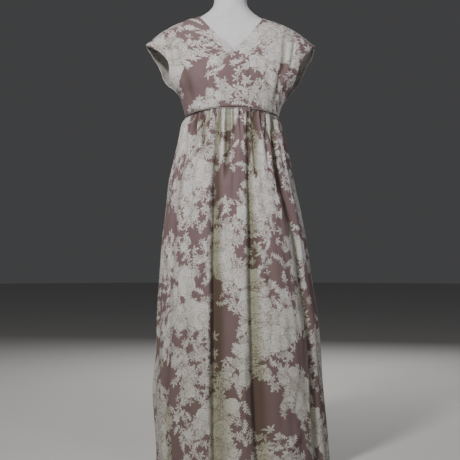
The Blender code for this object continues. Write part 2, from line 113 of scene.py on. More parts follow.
BODICE_RINGS = [Ring(*row) for row in (
    (1.1550, 0.1475, 0.1590, 0.1155, 0.1010), (1.1666, 0.1500, 0.1610, 0.1180, 0.1040),
    (1.1920, 0.1570, 0.1680, 0.1215, 0.1080), (1.2140, 0.1630, 0.1790, 0.1245, 0.1110),
    (1.2430, 0.1760, 0.2030, 0.1265, 0.1130), (1.2730, 0.2090, 0.2280, 0.1275, 0.1145),
    (1.3000, 0.2300, 0.2440, 0.1255, 0.1160), (1.3430, 0.2480, 0.2630, 0.1135, 0.1150),
    (1.3730, 0.2660, 0.2770, 0.1025, 0.1115), (1.4075, 0.2835, 0.2835, 0.0920, 0.1055),
    (1.4220, 0.2650, 0.2650, 0.0870, 0.1010), (1.4440, 0.2395, 0.2395, 0.0803, 0.0935),
    (1.4665, 0.2035, 0.2035, 0.0750, 0.0865), (1.4835, 0.1660, 0.1660, 0.0700, 0.0810),
    (1.4940, 0.1370, 0.1370, 0.0660, 0.0765), (1.5013, 0.1060, 0.1060, 0.0635, 0.0735),
)]

SKIRT_RINGS = [Ring(*row) for row in (
    (0.0100, 0.2475, 0.3340, 0.2340, 0.2500), (0.0730, 0.2496, 0.3280, 0.2300, 0.2460),
    (0.1890, 0.2580, 0.3160, 0.2230, 0.2390), (0.2670, 0.2600, 0.3100, 0.2190, 0.2340),
    (0.3510, 0.2520, 0.3050, 0.2140, 0.2280), (0.4885, 0.2465, 0.2940, 0.2050, 0.2170),
    (0.6360, 0.2370, 0.2700, 0.1930, 0.2030), (0.7400, 0.2300, 0.2570, 0.1840, 0.1920),
    (0.8470, 0.2180, 0.2360, 0.1730, 0.1780), (0.9440, 0.2080, 0.2130, 0.1620, 0.1640),
    (1.0090, 0.1930, 0.2000, 0.1530, 0.1490), (1.0750, 0.1770, 0.1880, 0.1430, 0.1350),
    (1.1130, 0.1680, 0.1760, 0.1345, 0.1240), (1.1400, 0.1610, 0.1670, 0.1275, 0.1150),
    (1.1650, 0.1500, 0.1610, 0.1180, 0.1045), (1.1900, 0.1500, 0.1610, 0.1215, 0.1045),
)]

# Folds of the skirt: degrees from the panel's centre at the top, half-way and at the hem, half-width in
# degrees, depth in millimetres at the same three places, the degrees by which the wall is pushed over, and
# how much steeper the left wall is than the right one
Fold = namedtuple("Fold", "top_angle mid_angle hem_angle width top_depth mid_depth hem_depth lean skew")

SKIRT_FOLDS = {
    FRONT: [Fold(*row) for row in (
        (-74, -75, -76, 5.0, 3, 8, 12, 0.0, 0.0), (-56, -54, -54, 4.6, 4, 9, 21, -0.6, -0.5),
        (-38, -36, -35, 6.0, 5, 8, 5, 0.0, 0.0), (-15, -11.3, -10, 5.0, 16, 31, 33, -1.8, 0.6),
        (3, 1, -1, 5.0, 7, 5, 6, 0.0, 0.0), (19, 14.4, 17, 4.6, 16, 28, 28, -1.4, 0.45),
        (29, 26, 29, 6.0, 8, 6, 4, 0.0, 0.0), (46, 60, 61, 6.0, 8, 20, 18, 1.0, -0.3),
        (74, 78, 78, 4.5, 4, 10, 14, 0.0, 0.0),
    )],
    BACK: [Fold(*row) for row in (
        (-70, -72, -74, 6.0, 3, 10, 13, 0.0, 0.2), (-47, -46, -50, 6.8, 8, 20, 27, 1.2, -0.5),
        (-26, -24, -27, 6.0, 7, 10, 12, 0.0, 0.3), (-7, -9, -6, 6.0, 10, 25, 30, -1.4, 0.5),
        (16, 13, 17, 6.0, 6, 12, 14, 0.0, -0.3), (35, 36, 35, 6.4, 10, 23, 29, 1.3, -0.5),
        (57, 58, 62, 6.0, 5, 16, 21, -0.8, 0.4), (76, 77, 79, 5.0, 3, 9, 12, 0.0, 0.0),
    )],
}

# Troughs in the bodice: their two ends in x and height, half-width and depth in millimetres
Crease = namedtuple("Crease", "x_top z_top x_low z_low width depth")

BODICE_CREASES = {
    FRONT: [Crease(*row) for row in (
        (-0.214, 1.448, -0.187, 1.325, 6, 8.0), (-0.178, 1.425, -0.166, 1.340, 5, 4.0),
        (-0.172, 1.370, -0.116, 1.198, 9, 6.5), (-0.136, 1.330, -0.128, 1.200, 7, 3.5),
        (-0.075, 1.290, -0.072, 1.186, 6, 2.2), (-0.048, 1.300, -0.052, 1.190, 5, 1.8),
        (0.180, 1.445, 0.174, 1.300, 8, 10.0), (0.176, 1.360, 0.140, 1.188, 8, 9.0),
        (0.116, 1.345, 0.133, 1.200, 8, 4.5), (0.042, 1.350, 0.098, 1.215, 10, 3.0),
        (0.214, 1.440, 0.194, 1.300, 6, 7.0),
    )],
    BACK: [Crease(*row) for row in (
        (-0.200, 1.440, -0.165, 1.290, 16, 6.0), (0.200, 1.440, 0.165, 1.290, 16, 6.5),
        (-0.060, 1.330, -0.070, 1.190, 14, 4.0), (0.066, 1.320, 0.062, 1.190, 14, 4.0),
    )],
}

# Broad gathers that run on below the seam, and shallow creases that cross the long folds, given in the same
# way. A negative depth is a ridge.
SKIRT_CREASES = {
    FRONT: [Crease(*row) for row in (
        (-0.0885, 1.215, -0.097, 1.000, 7, 19.0), (-0.032, 1.200, -0.037, 1.060, 5, 9.0),
        (-0.002, 1.215, -0.016, 0.940, 9, 24.0), (0.024, 1.090, 0.022, 0.860, 9, -4.5),
        (0.071, 1.215, 0.090, 0.940, 7, 20.0), (0.112, 1.200, 0.128, 0.990, 6, 12.0),
        (0.134, 1.215, 0.168, 0.900, 8, 17.0), (-0.072, 1.180, -0.070, 0.780, 11, -5.0),
        (-0.136, 1.190, -0.166, 0.900, 8, 6.0), (-0.162, 1.000, -0.192, 0.760, 8, 7.0),
        (-0.112, 1.200, -0.126, 0.960, 6, 9.0), (-0.075, 0.688, -0.122, 0.535, 6, 6.0),
        (0.012, 0.424, 0.013, 0.306, 4, -3.0), (0.094, 0.340, 0.118, 0.313, 5, 3.0),
        (-0.070, 1.205, -0.074, 1.080, 5, 8.0), (-0.144, 1.120, -0.150, 1.000, 6, 3.5),
        (0.084, 1.130, 0.092, 0.990, 5, 6.0), (0.146, 1.080, 0.160, 0.900, 6, 8.0),
        (0.168, 0.990, 0.190, 0.800, 7, 8.0), (0.042, 0.420, 0.044, 0.120, 8, -5.0),
        (0.226, 0.290, 0.200, 0.160, 10, 3.0), (0.136, 0.036, 0.236, 0.150, 8, -11.0),
        (0.252, 0.560, 0.262, 0.100, 8, -5.0), (0.040, 0.500, 0.050, 0.020, 10, -4.0),
        (-0.190, 0.420, -0.170, 0.250, 9, 3.0), (-0.060, 0.200, -0.100, 0.090, 10, 3.5),
        (0.110, 0.700, 0.150, 0.560, 9, 3.5), (0.090, 0.800, 0.085, 0.600, 9, 4.0),
    )],
    BACK: [Crease(*row) for row in (
        (-0.120, 1.200, -0.140, 0.960, 7, 8.0), (-0.076, 1.200, -0.080, 1.020, 6, 7.0),
        (-0.034, 1.210, -0.046, 0.930, 7, 9.0), (0.010, 1.200, 0.018, 0.990, 6, 7.0),
        (0.052, 1.200, 0.056, 1.040, 6, 7.0), (0.090, 1.210, 0.108, 0.940, 7, 9.0),
        (0.130, 1.200, 0.156, 0.900, 7, 8.0), (-0.004, 1.080, 0.006, 0.820, 10, -4.5),
        (0.080, 0.700, 0.120, 0.540, 9, 4.5), (-0.100, 0.520, -0.070, 0.380, 9, 4.0),
        (-0.200, 0.300, -0.160, 0.120, 10, -5.0), (0.180, 0.360, 0.210, 0.160, 9, 4.0),
        (0.020, 0.260, 0.050, 0.120, 8, -4.0),
    )],
}

# Where each panel's centre lies on the printed cloth, in metres
PRINT_PLACE = {
    "bodice_front_cloth": (0.89, -1.26),
    "bodice_back_cloth": (2.10, 0.70),
    "skirt_front_cloth": (-0.95, 0.00),
    "skirt_back_cloth": (-2.40, 0.50),
}

# Motifs of the print, drawn from the back to the front. Spacing, reach, breadth, pitch and disc are in
# millimetres, and a petal's width is a share of its reach. Edge is how deep in the bouquet's mass a motif's
# centre must lie, and the shift keeps the layouts apart. Ring is 1 on roses, whose petals are drawn as rings.
Petals = namedtuple("Petals", "spacing reach width points blunt stretch disc edge share shift ring")
Frond = namedtuple("Frond", "spacing reach breadth pitch cut edge share shift")
IN_MM = ("spacing", "reach", "breadth", "pitch", "disc")
LAYOUT = ("Spacing", "Edge", "Share", "Shift")     # what every kind of motif is scattered by
ROSE_RING = 8.0 * MM                               # from one ring of a rose's petals to the next

MOTIFS = (
    Frond(50, 25, 11, 9, 0.88, -0.62, 0.56, 0.31),
    Petals(38, 17, 0.14, 6, 0.7, 0.40, 2, -0.60, 0.50, 0.83, 0),
    Petals(32, 15, 0.15, 5, 0.7, 0.35, 2, -0.34, 0.66, 1.37, 0),
    Frond(44, 23, 10, 8, 0.84, -0.24, 0.80, 1.91),
    Petals(37, 18, 0.17, 6, 0.8, 0.35, 3, -0.06, 0.88, 2.43, 0),
    Petals(118, 10, 0.10, 6, 1.0, 0.00, 46, 0.26, 0.95, 2.97, 1),
    Petals(84, 10, 0.10, 5, 1.0, 0.00, 27, 0.10, 0.80, 3.49, 1),
    Petals(56, 22, 0.22, 7, 0.9, 0.35, 3, 0.04, 0.62, 4.01, 0),
    Frond(62, 27, 12, 9, 0.72, 0.10, 0.45, 4.57),
    Petals(88, 19, 0.17, 10, 0.5, 0.05, 7, -0.42, 0.42, 5.09, 0),
)


def between(rows, name, height):
    """Column values at an array of heights: a smooth curve through the rows that never overshoots them."""
    levels = np.array([row.height for row in rows])
    values = np.array([getattr(row, name) for row in rows])
    slope = np.diff(values) / np.diff(levels)
    tangent = np.concatenate((slope[:1], np.zeros(len(rows) - 2), slope[-1:]))
    product, total = slope[:-1] * slope[1:], slope[:-1] + slope[1:]
    rising = product > 0.0
    tangent[1:-1][rising] = 2.0 * product[rising] / total[rising]
    k = np.clip(np.searchsorted(levels, height, side="right") - 1, 0, len(rows) - 2)
    span = levels[k + 1] - levels[k]
    t = np.clip((height - levels[k]) / span, 0.0, 1.0)
    return (
        values[k] * (2 * t**3 - 3 * t**2 + 1)
        + tangent[k] * span * (t**3 - 2 * t**2 + t)
        + values[k + 1] * (3 * t**2 - 2 * t**3)
        + tangent[k + 1] * span * (t**3 - t**2)
    )


def mix(a, b, share):
    return a + (b - a) * share


def step(value, low, high):
    """0 below low, 1 above high, and a smooth rise between."""
    t = np.clip((value - low) / (high - low), 0.0, 1.0)
    return t * t * (3.0 - 2.0 * t)


def bell(value, width):
    """1 at zero, falling off smoothly on both sides."""
    return np.exp(-((value / width) ** 2))


def half_width(side):
    return "right" if side == RIGHT else "left"


def ring_depth(face):
    return "front" if face == FRONT else "back"


def shoulder_drop(x, height):
    """How far a place is lowered, because the right shoulder hangs lower."""
    return SHOULDER_DROP * np.clip((x - 0.03) / 0.10, 0.0, 1.0) * np.clip((height - 1.30) / 0.12, 0.0, 1.0)


def rounded_off(share, power):
    """The other half-size of a ring, as a share of its whole, at a share of the first one."""
    return (1.0 - np.minimum(share, 1.0) ** power) ** (1.0 / power)


def ring_point(rows, power, face, turn, height):
    """x and depth of the level ring at a height, by the angle from centre front or back."""
    sine, cosine = np.sin(turn), np.maximum(np.cos(turn), 0.0)
    half = np.where(sine < 0.0, between(rows, "left", height), between(rows, "right", height))
    depth = between(rows, ring_depth(face), height)
    return half * np.sign(sine) * np.abs(sine) ** (2.0 / power), depth * cosine ** (2.0 / power)


def waist_height(face, sine):
    """Height of the waist seam, by the sine of the angle from centre front or back."""
    rise = WAIST_RISE if face == FRONT else 0.0
    return WAIST_SIDE + rise * (1.0 - np.abs(sine) ** WAIST_RISE_POWER)


def ridge_height(x):
    """Height of the shoulder seam at a distance from the centre line."""
    heights = np.linspace(SLEEVE_TIP[1], BODICE_RINGS[-1].height, 3000)
    return np.interp(x, between(BODICE_RINGS, "left", heights)[::-1], heights[::-1])


def crease_offset(creases, x, height):
    """How far the creases push the cloth in at each place, in metres."""
    total = np.zeros(np.broadcast(x, height).shape)
    for crease in creases:
        along_x, along_z = crease.x_low - crease.x_top, crease.z_low - crease.z_top
        length = math.hypot(along_x, along_z)
        share = ((x - crease.x_top) * along_x + (height - crease.z_top) * along_z) / length**2
        off = ((x - crease.x_top) * along_z - (height - crease.z_top) * along_x) / length
        fade = np.sin(math.pi * np.clip(share, 0.0, 1.0)) ** 0.7
        total += crease.depth * MM * fade * bell(off, crease.width * MM)
    return total


def ripple(a, b, size, seed):
    """A wandering value between about -1 and 1 over two lengths, with waves of about the given size."""
    chance = np.random.default_rng(seed)
    total = np.zeros(np.broadcast(a, b).shape)
    for _ in range(7):
        turn, phase = chance.uniform(0.0, 2.0 * math.pi, 2)
        pitch = 2.0 * math.pi / (size * chance.uniform(0.7, 1.6))
        total += np.sin((a * math.cos(turn) + b * math.sin(turn)) * pitch + phase)
    return total / 3.5


def centre_edge(face, side, v):
    """x outwards and height of the centre line and then the neck edge, for v from 0 to 1."""
    split = NECK_SHARE[face]
    x_split, z_split = (V_BOTTOM[0] * side, V_BOTTOM[1]) if face == FRONT else (0.0, BACK_NECK_HEIGHT)
    low = np.minimum(v / split, 1.0)
    t = np.clip((v - split) / (1.0 - split), 0.0, 1.0)
    bow = 0.0035 * np.sin(math.pi * t) if face == FRONT else 0.0
    rise = t if face == FRONT else t**2.2
    x_top = NECK_WIDTH[side]
    x = np.where(v <= split, x_split * low, mix(x_split, x_top, t) + bow)
    z_neck = mix(z_split, ridge_height(x_top), rise) - bow
    z = np.where(v <= split, mix(waist_height(face, 0.0), z_split, low), z_neck)
    return x, z


def side_edge(face, side, v):
    """x outwards and height of the side seam and then the sleeve's edge, for v from 0 to 1."""
    under = UNDERARM_HEIGHT[side]
    turn = math.pi * np.clip((v - UNDERARM_SHARE) / (1.0 - UNDERARM_SHARE), 0.0, 1.0)
    seam = mix(WAIST_SIDE, under, np.minimum(v / UNDERARM_SHARE, 1.0))
    edge = (under + SLEEVE_TIP[1]) / 2.0 - (SLEEVE_TIP[1] - under) / 2.0 * np.cos(turn)
    z = np.where(v <= UNDERARM_SHARE, seam, edge)
    cut = (FRONT_CUT[side] if face == FRONT else BACK_CUT) * np.sin(turn)
    depth = between(BODICE_RINGS, ring_depth(face), z)
    return between(BODICE_RINGS, half_width(side), z) * rounded_off(cut / depth, BODICE_POWER), z


def bodice_places(face, side, u, v):
    """Points of one half of a bodice panel. u runs from the centre to the side, v from waist to shoulder."""
    half = float(between(BODICE_RINGS, half_width(side), WAIST_SIDE))
    sine = np.sin(u * math.pi / 2.0)
    x_waist, z_waist = half * sine ** (2.0 / BODICE_POWER), waist_height(face, sine)
    x_top = mix(NECK_WIDTH[side], SLEEVE_TIP[0], u)
    z_top = ridge_height(x_top)
    centre, edge = centre_edge(face, side, v), side_edge(face, side, v)
    corners = (
        (0.0, float(waist_height(face, 0.0))),
        (half, WAIST_SIDE),
        (NECK_WIDTH[side], float(ridge_height(NECK_WIDTH[side]))),
        SLEEVE_TIP,
    )
    place = []
    for axis, waist, top in ((0, x_waist, x_top), (1, z_waist, z_top)):
        low = mix(corners[0][axis], corners[1][axis], u)
        high = mix(corners[2][axis], corners[3][axis], u)
        place.append(mix(centre[axis], edge[axis], u) + mix(waist, top, v) - mix(low, high, v))
    x, z = place
    on_seam = (v >= 1.0) | ((u >= 1.0) & (v <= UNDERARM_SHARE))
    share = np.minimum(np.abs(x) / between(BODICE_RINGS, half_width(side), z), 1.0)
    depth = between(BODICE_RINGS, ring_depth(face), z) * rounded_off(share, BODICE_POWER)
    depth = np.where(on_seam, 0.0, depth)
    fade = np.minimum(1.0, v / 0.08) * np.minimum(1.0, depth / 0.03)
    depth = depth - crease_offset(BODICE_CREASES[face], side * x, z) * fade
    z = z - shoulder_drop(side * x, z)
    # The lowest row stands on the piping
    z = z + (PIPING_RADIUS + SEAM_GAP) * np.maximum(0.0, 1.0 - v / 0.02)
    return np.stack((side * x, face * np.maximum(depth, 0.0002), z), axis=-1)


def grid_normals(points):
    """Unit directions across a grid of points, whose sense is the grid's own."""
    across = np.gradient(points, axis=1)
    up = np.gradient(points, axis=0)
    normal = np.cross(across, up)
    return normal / np.maximum(np.linalg.norm(normal, axis=-1, keepdims=True), 1e-12)


def lengths_along(points, axis):
    """Distance walked along each line of a grid, from its start."""
    steps = np.linalg.norm(np.diff(points, axis=axis), axis=-1)
    start = np.zeros_like(np.take(steps, [0], axis=axis))
    return np.concatenate((start, np.cumsum(steps, axis=axis)), axis=axis)


def grid_quads(index):
    """The squares of a grid of point numbers."""
    return np.stack((index[:-1, :-1], index[:-1, 1:], index[1:, 1:], index[1:, :-1]), axis=-1).reshape(-1, 4)


def cloth_shell(name, points, faces, flat, aged, wall, materials):
    """A thin shell of cloth from the points of its right side, with the thickness of its wall at each point.

    It keeps each point's place in the cut as a UV map, and how much painted shade darkens the cloth there,
    from 0 to 1.
    """
    mesh = bpy.data.meshes.new(name)
    mesh.from_pydata(points.tolist(), [], faces.tolist())
    layer = mesh.uv_layers.new(name="cloth")
    layer.data.foreach_set("uv", flat[faces.ravel()].astype(np.float32).ravel())
    # The painted shade is kept on the points, for the material to darken the cloth by
    mesh.attributes.new(name="aged", type="FLOAT", domain="POINT").data.foreach_set("value", aged)
    for material in materials:
        mesh.materials.append(material)
    mesh.shade_smooth()
    piece = bpy.data.objects.new(name, mesh)
    bpy.context.scene.collection.objects.link(piece)
    sides = {"material_offset": 1, "material_offset_rim": 1}
    apply_modifier(piece, "SOLIDIFY", thickness=1.0 * MM, offset=-1.0, use_rim=True, **sides)
    # Solidify adds the wrong side's points after those of the right side, in the same order
    places = np.empty(len(mesh.vertices) * 3)
    mesh.vertices.foreach_get("co", places)
    right_side, wrong_side = places.reshape(2, -1, 3)
    wrong_side += (right_side - wrong_side) * (1.0 - wall / MM)[:, None]
    mesh.vertices.foreach_set("co", places)
    return piece


def only(piece):
    """Selects one piece alone and makes it active."""
    bpy.ops.object.select_all(action="DESELECT")
    piece.select_set(True)
    bpy.context.view_layer.objects.active = piece


def apply_modifier(piece, kind, **settings):
    """Puts one modifier on a piece and applies it."""
    only(piece)
    modifier = piece.modifiers.new(kind.lower(), kind)
    for name, value in settings.items():
        setattr(modifier, name, value)
    bpy.ops.object.modifier_apply(modifier=modifier.name)


def bodice_rows():
    """Shares of the way from the waist to the shoulder, closest where the cloth turns over the shoulder."""
    even = np.linspace(0.0, 1.0, BODICE_ROWS)
    shares = np.concatenate((1.0 - (1.0 - even) ** ROW_CROWDING, (UNDERARM_SHARE, *NECK_SHARE.values())))
    shares = np.unique(shares)
    return shares[np.concatenate(([True], np.diff(shares) > 1e-7))]


def dress_bodice(face, side, points, v):
    """Adds to one half of the bodice what its solid leaves out, and gives its place in the cut."""
    normal = grid_normals(points) * (-side * face)
    from_waist = lengths_along(points, 0)
    from_shoulder = from_waist[-1:] - from_waist
    across = lengths_along(points, 1)
    to_edge = across[:, -1:] - across
    from_neck = np.where(v[:, None] >= NECK_SHARE[face], across, 1.0)
    x, z = points[..., 0], points[..., 2]
    # The shoulder seam and the side seam lie in a shallow valley with a little pucker
    lift = -0.9 * MM * bell(from_shoulder, 2.6 * MM)
    on_side = (v[:, None] <= UNDERARM_SHARE).astype(float)
    lift += -0.9 * MM * bell(to_edge, 2.6 * MM) * on_side
    # Turned edges of the neck and the sleeves are thicker, with a line of stitching 7 mm in
    sleeve = (1.0 - on_side) * step(from_shoulder, 0.0, 0.012)
    for away, there in ((from_neck, 1.0), (to_edge, sleeve)):
        lift += 0.45 * MM * (1.0 - step(away, 6.0 * MM, 8.5 * MM)) * there
        lift += -0.35 * MM * bell(away - 7.0 * MM, 1.1 * MM) * there
    # The sleeve's edge waves a little
    wave = 1.6 * MM * ripple(x, z, 0.045, 31 + face) * np.exp(-to_edge / 0.03) * sleeve
    # Small tucks where the bodice is eased into the waist seam
    tuck = ripple(across, from_waist * 0.15, 0.014, 17 + face * side)
    reach = 0.032 + 0.022 * ripple(across, 0.0 * across, 0.05, 5 + side)
    lift += 1.2 * MM * tuck * bell(from_waist, reach) * step(from_waist, 0.0, 8.0 * MM)
    # The cloth hangs in soft unpressed rumples
    soft = step(from_shoulder, 0.004, 0.03) * step(from_waist, 0.0, 0.02)
    lift += 0.8 * MM * ripple(x + 0.3 * z, z * 0.6, 0.055, 7 + face) * soft
    lift += 0.45 * MM * ripple(x, z * 0.5, 0.021, 8 + face) * soft
    lift += wave
    lift *= step(np.hypot(to_edge, from_shoulder), 2.0 * MM, 14.0 * MM)
    underarm = points[np.argmax(v >= UNDERARM_SHARE), -1]
    lift *= step(np.linalg.norm(points - underarm, axis=-1), 2.0 * MM, 14.0 * MM)
    points = points + normal * lift[..., None]
    points[..., 1] = face * np.maximum(face * points[..., 1], 0.00012)
    cut = np.stack((side * across, from_waist), axis=-1)
    return points, cut


def bodice_panel(name, face, settings, materials):
    """The front or back of the bodice with its halves of the two cap sleeves."""
    v = bodice_rows()
    u = np.linspace(0.0, 1.0, BODICE_COLUMNS)
    halves = [
        dress_bodice(face, side, bodice_places(face, side, u[None, :], v[:, None]), v)
        for side in (LEFT, RIGHT)
    ]
    points, flat = [np.stack(grids) for grids in zip(*halves)]
    # The halves share the points of their centre line
    joined = v <= NECK_SHARE[face] + 1e-9
    points[:, joined, 0] = points[:, joined, 0].sum(axis=0) / 2.0
    index = np.arange(points[..., 0].size).reshape(points.shape[:3])
    index[1, joined, 0] = index[0, joined, 0]
    turned = {side: slice(None, None, -1 if side * face > 0 else 1) for side in (LEFT, RIGHT)}
    faces = np.concatenate([grid_quads(grid)[:, turned[side]] for grid, side in zip(index, (LEFT, RIGHT))])
    used, faces = np.unique(faces, return_inverse=True)
    faces = faces.reshape(-1, 4)
    flat = flat.reshape(-1, 2)[used] + np.array(PRINT_PLACE[name])
    points = points.reshape(-1, 3)[used]
    # Painted shade: the cloth is darkened down in each crease, fully where the crease is 16 mm deep
    aged = np.clip(crease_offset(BODICE_CREASES[face], points[:, 0], points[:, 2]) / (16.0 * MM), 0.0, 1.0)
    # The wall thins out where the cloth runs into the shoulder seam, the side seams and the sleeve tips
    tip_height = SLEEVE_TIP[1] - shoulder_drop(points[:, 0], SLEEVE_TIP[1])
    tip = np.hypot(np.abs(points[:, 0]) - SLEEVE_TIP[0], points[:, 2] - tip_height)
    room = np.minimum(np.abs(points[:, 1]) * 0.6, 0.1 * MM + tip * 0.08)
    wall = np.clip(room, 0.04 * MM, settings.cloth_thickness)
    return cloth_shell(name, points, faces, flat, aged, wall, materials)


def gather_angle(face, share):
    """Degrees from the panel's centre at a share of its width: the gathers are unevenly spread."""
    drift = 1.5 * np.sin(7.0 * math.pi * share + 0.6 * face) + 0.8 * np.sin(17.0 * math.pi * share)
    return -90.0 + 180.0 * share + drift * np.sqrt(np.maximum(np.sin(math.pi * share), 0.0))


def pleats(count, seed, depths, lengths, share, down):
    """Offset of one set of gathers, in metres: narrow uneven valleys with rounder ridges between them.

    The depths are in millimetres, and the lengths are shares of the skirt's length.
    """
    chance = np.random.default_rng(seed)
    place = share * count
    k = np.clip(np.floor(place), 0, count - 1).astype(int)
    depth = chance.uniform(*depths, count)[k] * MM
    length = chance.uniform(*lengths, count)[k]
    middle = chance.uniform(0.40, 0.60, count)[k] + chance.uniform(-0.5, 0.5, count)[k] * down
    width = chance.uniform(0.20, 0.32, count)[k] * (1.0 + 1.2 * down)
    edge = np.sin(math.pi * (place - k)) ** 0.5
    valley = bell(place - k - middle, width) * edge
    fade = np.maximum(0.0, 1.0 - down / length) ** 1.4
    return fade * depth * (0.33 - valley)


def gathers(face, share, down):
    """Offset of all the gathers: long ones, and about twice as many short ones between and across them."""
    offset = pleats(GATHERS, 40 + face, (7.0, 13.0), (0.10, 0.40), share, down)
    offset += pleats(2 * GATHERS + 3, 50 + face, (5.0, 10.0), (0.04, 0.16), share, down)
    offset *= 0.32 + 0.68 * step(down, 0.0, 0.013)
    # The gathers stop short of the side seams
    offset *= step(np.minimum(share, 1.0 - share), 0.0, 0.014)
    # Below the seam the gathered cloth puffs out a little
    return offset + 1.6 * MM * step(down, 0.0, 0.018) * np.exp(-down / 0.06)


def skirt_places(face, share, down):
    """Points of the right side of a skirt panel, by shares of its width and of its length."""
    angle = gather_angle(face, share)
    offset = gathers(face, share, down)
    lean = np.zeros_like(offset)
    early, halfway, late = (1 - down) * (1 - 2 * down), 4 * down * (1 - down), down * (2 * down - 1)
    for fold in SKIRT_FOLDS[face]:
        centre = fold.top_angle * early + fold.mid_angle * halfway + fold.hem_angle * late
        depth = np.maximum(0.0, fold.top_depth * early + fold.mid_depth * halfway + fold.hem_depth * late)
        width = fold.width * (0.75 + 0.35 * down)
        away = angle - centre
        width = width * (1.0 + 0.7 * fold.skew * np.tanh(away / 2.0))
        trough = np.exp(-(np.abs(away / width) ** 1.8))
        offset = offset - depth * MM * np.minimum(1.0, down / 0.06) * trough
        lean = lean + fold.lean * trough * np.minimum(1.0, down / 0.4)
    turn = np.radians(angle + lean * np.sqrt(np.maximum(np.sin(math.pi * share), 0.0)))
    sine = np.sin(turn)
    height = mix(waist_height(face, sine) - PIPING_RADIUS - SKIRT_GAP, HEM_HEIGHT, down)
    (x, depth), ahead, behind = [
        ring_point(SKIRT_RINGS, SKIRT_POWER, face, turn + aside, height) for aside in (0.0, 0.01, -0.01)
    ]
    out_x, out_y = behind[1] - ahead[1], ahead[0] - behind[0]
    size = np.hypot(out_x, out_y)
    out_x, out_y = out_x / size, out_y / size
    # Cross creases and soft rumples
    offset = offset - crease_offset(SKIRT_CREASES[face], x, height)
    calm = step(down, 0.03, 0.15)
    across = angle * 0.0048
    offset += 1.5 * MM * ripple(across, height * 0.22, 0.060, 3 + face) * calm
    offset += 1.0 * MM * ripple(across, height * 0.12, 0.024, 4 + face) * calm * (1.0 - 0.5 * down)
    # The side seams lie in a shallow valley. The cut is about 0.9 m wide.
    seam = np.minimum(share, 1.0 - share) * 0.9
    offset = offset - 1.0 * MM * bell(seam, 3.0 * MM)
    ends = (share <= 0.0) | (share >= 1.0)
    out_x = np.where(ends, np.sign(sine), out_x)
    out_y = np.where(ends, 0.0, out_y)
    # Close below the seam the form leaves little room inside the cloth
    room = 4.5 * MM + 0.35 * down
    offset = np.where(offset < 0.0, -room * np.tanh(-offset / room), offset)
    # The hem is turned up 25 mm and stitched, so it stands out by its own thickness
    from_hem = (1.0 - down) * (WAIST_SIDE - HEM_HEIGHT)
    offset += 0.6 * MM * (1.0 - step(from_hem, 23.0 * MM, 27.0 * MM))
    y = face * np.maximum(depth + out_y * offset, 0.00015)
    # Painted shade: the cloth is darkened down in the folds, which are shallow near the seam, and all over,
    # more and more towards the hem, where the light falls off
    low = step(down, 0.0, 0.14)
    deep = step(-offset, mix(1.0, 6.0, low) * MM, mix(8.5, 22.0, low) * MM)
    aged = 1.0 - (1.0 - deep) * (1.0 - 0.46 * step(down, 0.15, 0.85))
    return np.stack((x + out_x * offset, y, height), axis=-1), aged


def skirt_panel(name, face, settings, materials):
    """The front or back of the skirt, gathered into the waist seam."""
    share = np.linspace(0.0, 1.0, GATHERS * COLUMNS_PER_GATHER + 1)
    down = np.linspace(0.0, 1.0, SKIRT_ROWS) ** 1.45
    # With the points comes the painted shade of the skirt's folds and of its lower part
    points, aged = skirt_places(face, share[None, :], down[:, None])
    faces = grid_quads(np.arange(aged.size).reshape(aged.shape))[:, ::face]
    width = mix(settings.skirt_top_width, settings.skirt_hem_width, down[:, None])
    flat = np.stack(((share[None, :] - 0.5) * width, -lengths_along(points, 0)), axis=-1)
    flat = flat.reshape(-1, 2) + np.array(PRINT_PLACE[name])
    wall = np.full(aged.size, settings.cloth_thickness)
    return cloth_shell(name, points.reshape(-1, 3), faces, flat, aged.ravel(), wall, materials)


def linear(hex_colour):
    """An sRGB hex colour as linear red, green, blue and alpha."""
    channels = [int(hex_colour[k:k + 2], 16) / 255.0 for k in (1, 3, 5)]
    return (*[c / 12.92 if c <= 0.04045 else ((c + 0.055) / 1.055) ** 2.4 for c in channels], 1.0)


# Short names for the nodes of a sum. "*+" multiplies the first two values and adds the third.
SIGNS = {
    "+": "Math ADD", "-": "Math SUBTRACT", "*": "Math MULTIPLY", "/": "Math DIVIDE",
    "*+": "Math MULTIPLY_ADD",
}


def toned(colour, share, lift=0.0):
    """A linear colour made lighter or darker."""
    return (*[min(1.0, c * share + lift) for c in colour[:3]], 1.0)


def fill(tree, inputs, wanted):
    """Links or sets inputs by their names or numbers.

    A value may be a socket, a number or vector, None to leave it, or a tuple that describes a node.
    """
    for name, value in wanted.items():
        if isinstance(value, tuple) and isinstance(value[0], str):
            value = add(tree, *value)
        if isinstance(value, bpy.types.NodeSocket):
            tree.links.new(value, inputs[name])
        elif value is not None:
            inputs[name].default_value = value


def add(tree, what, *values, pick=0, **settings):
    """Adds a node, named by its kind and operation or by a sum's sign, and gives its settings.

    The values fill its inputs in order, and a dictionary among them fills named inputs.
    """
    kind, _, operation = SIGNS.get(what, what).partition(" ")
    node = tree.nodes.new("ShaderNode" + kind)
    if operation:
        node.operation = operation
    for name, value in settings.items():
        setattr(node, name, value)
    for k, value in enumerate(values):
        fill(tree, node.inputs, value if isinstance(value, dict) else {k: value})
    return node if pick is None else node.outputs[pick]


def new_group(name, inputs, outputs):
    """An empty node group. Its sockets are floats, apart from the vectors Cloth and Local."""
    tree = bpy.data.node_groups.new(name, "ShaderNodeTree")
    for in_out, labels in (("INPUT", ("Cloth", *inputs)), ("OUTPUT", outputs)):
        for label in labels:
            kind = "NodeSocketVector" if label in ("Cloth", "Local") else "NodeSocketFloat"
            tree.interface.new_socket(label, in_out=in_out, socket_type=kind)
    return tree, tree.nodes.new("NodeGroupInput").outputs, tree.nodes.new("NodeGroupOutput").inputs


def new_material(name):
    """A new material with its node tree and the inputs of its shader."""
    material = bpy.data.materials.new(name)
    material.use_nodes = True
    return material, material.node_tree, material.node_tree.nodes["Principled BSDF"].inputs


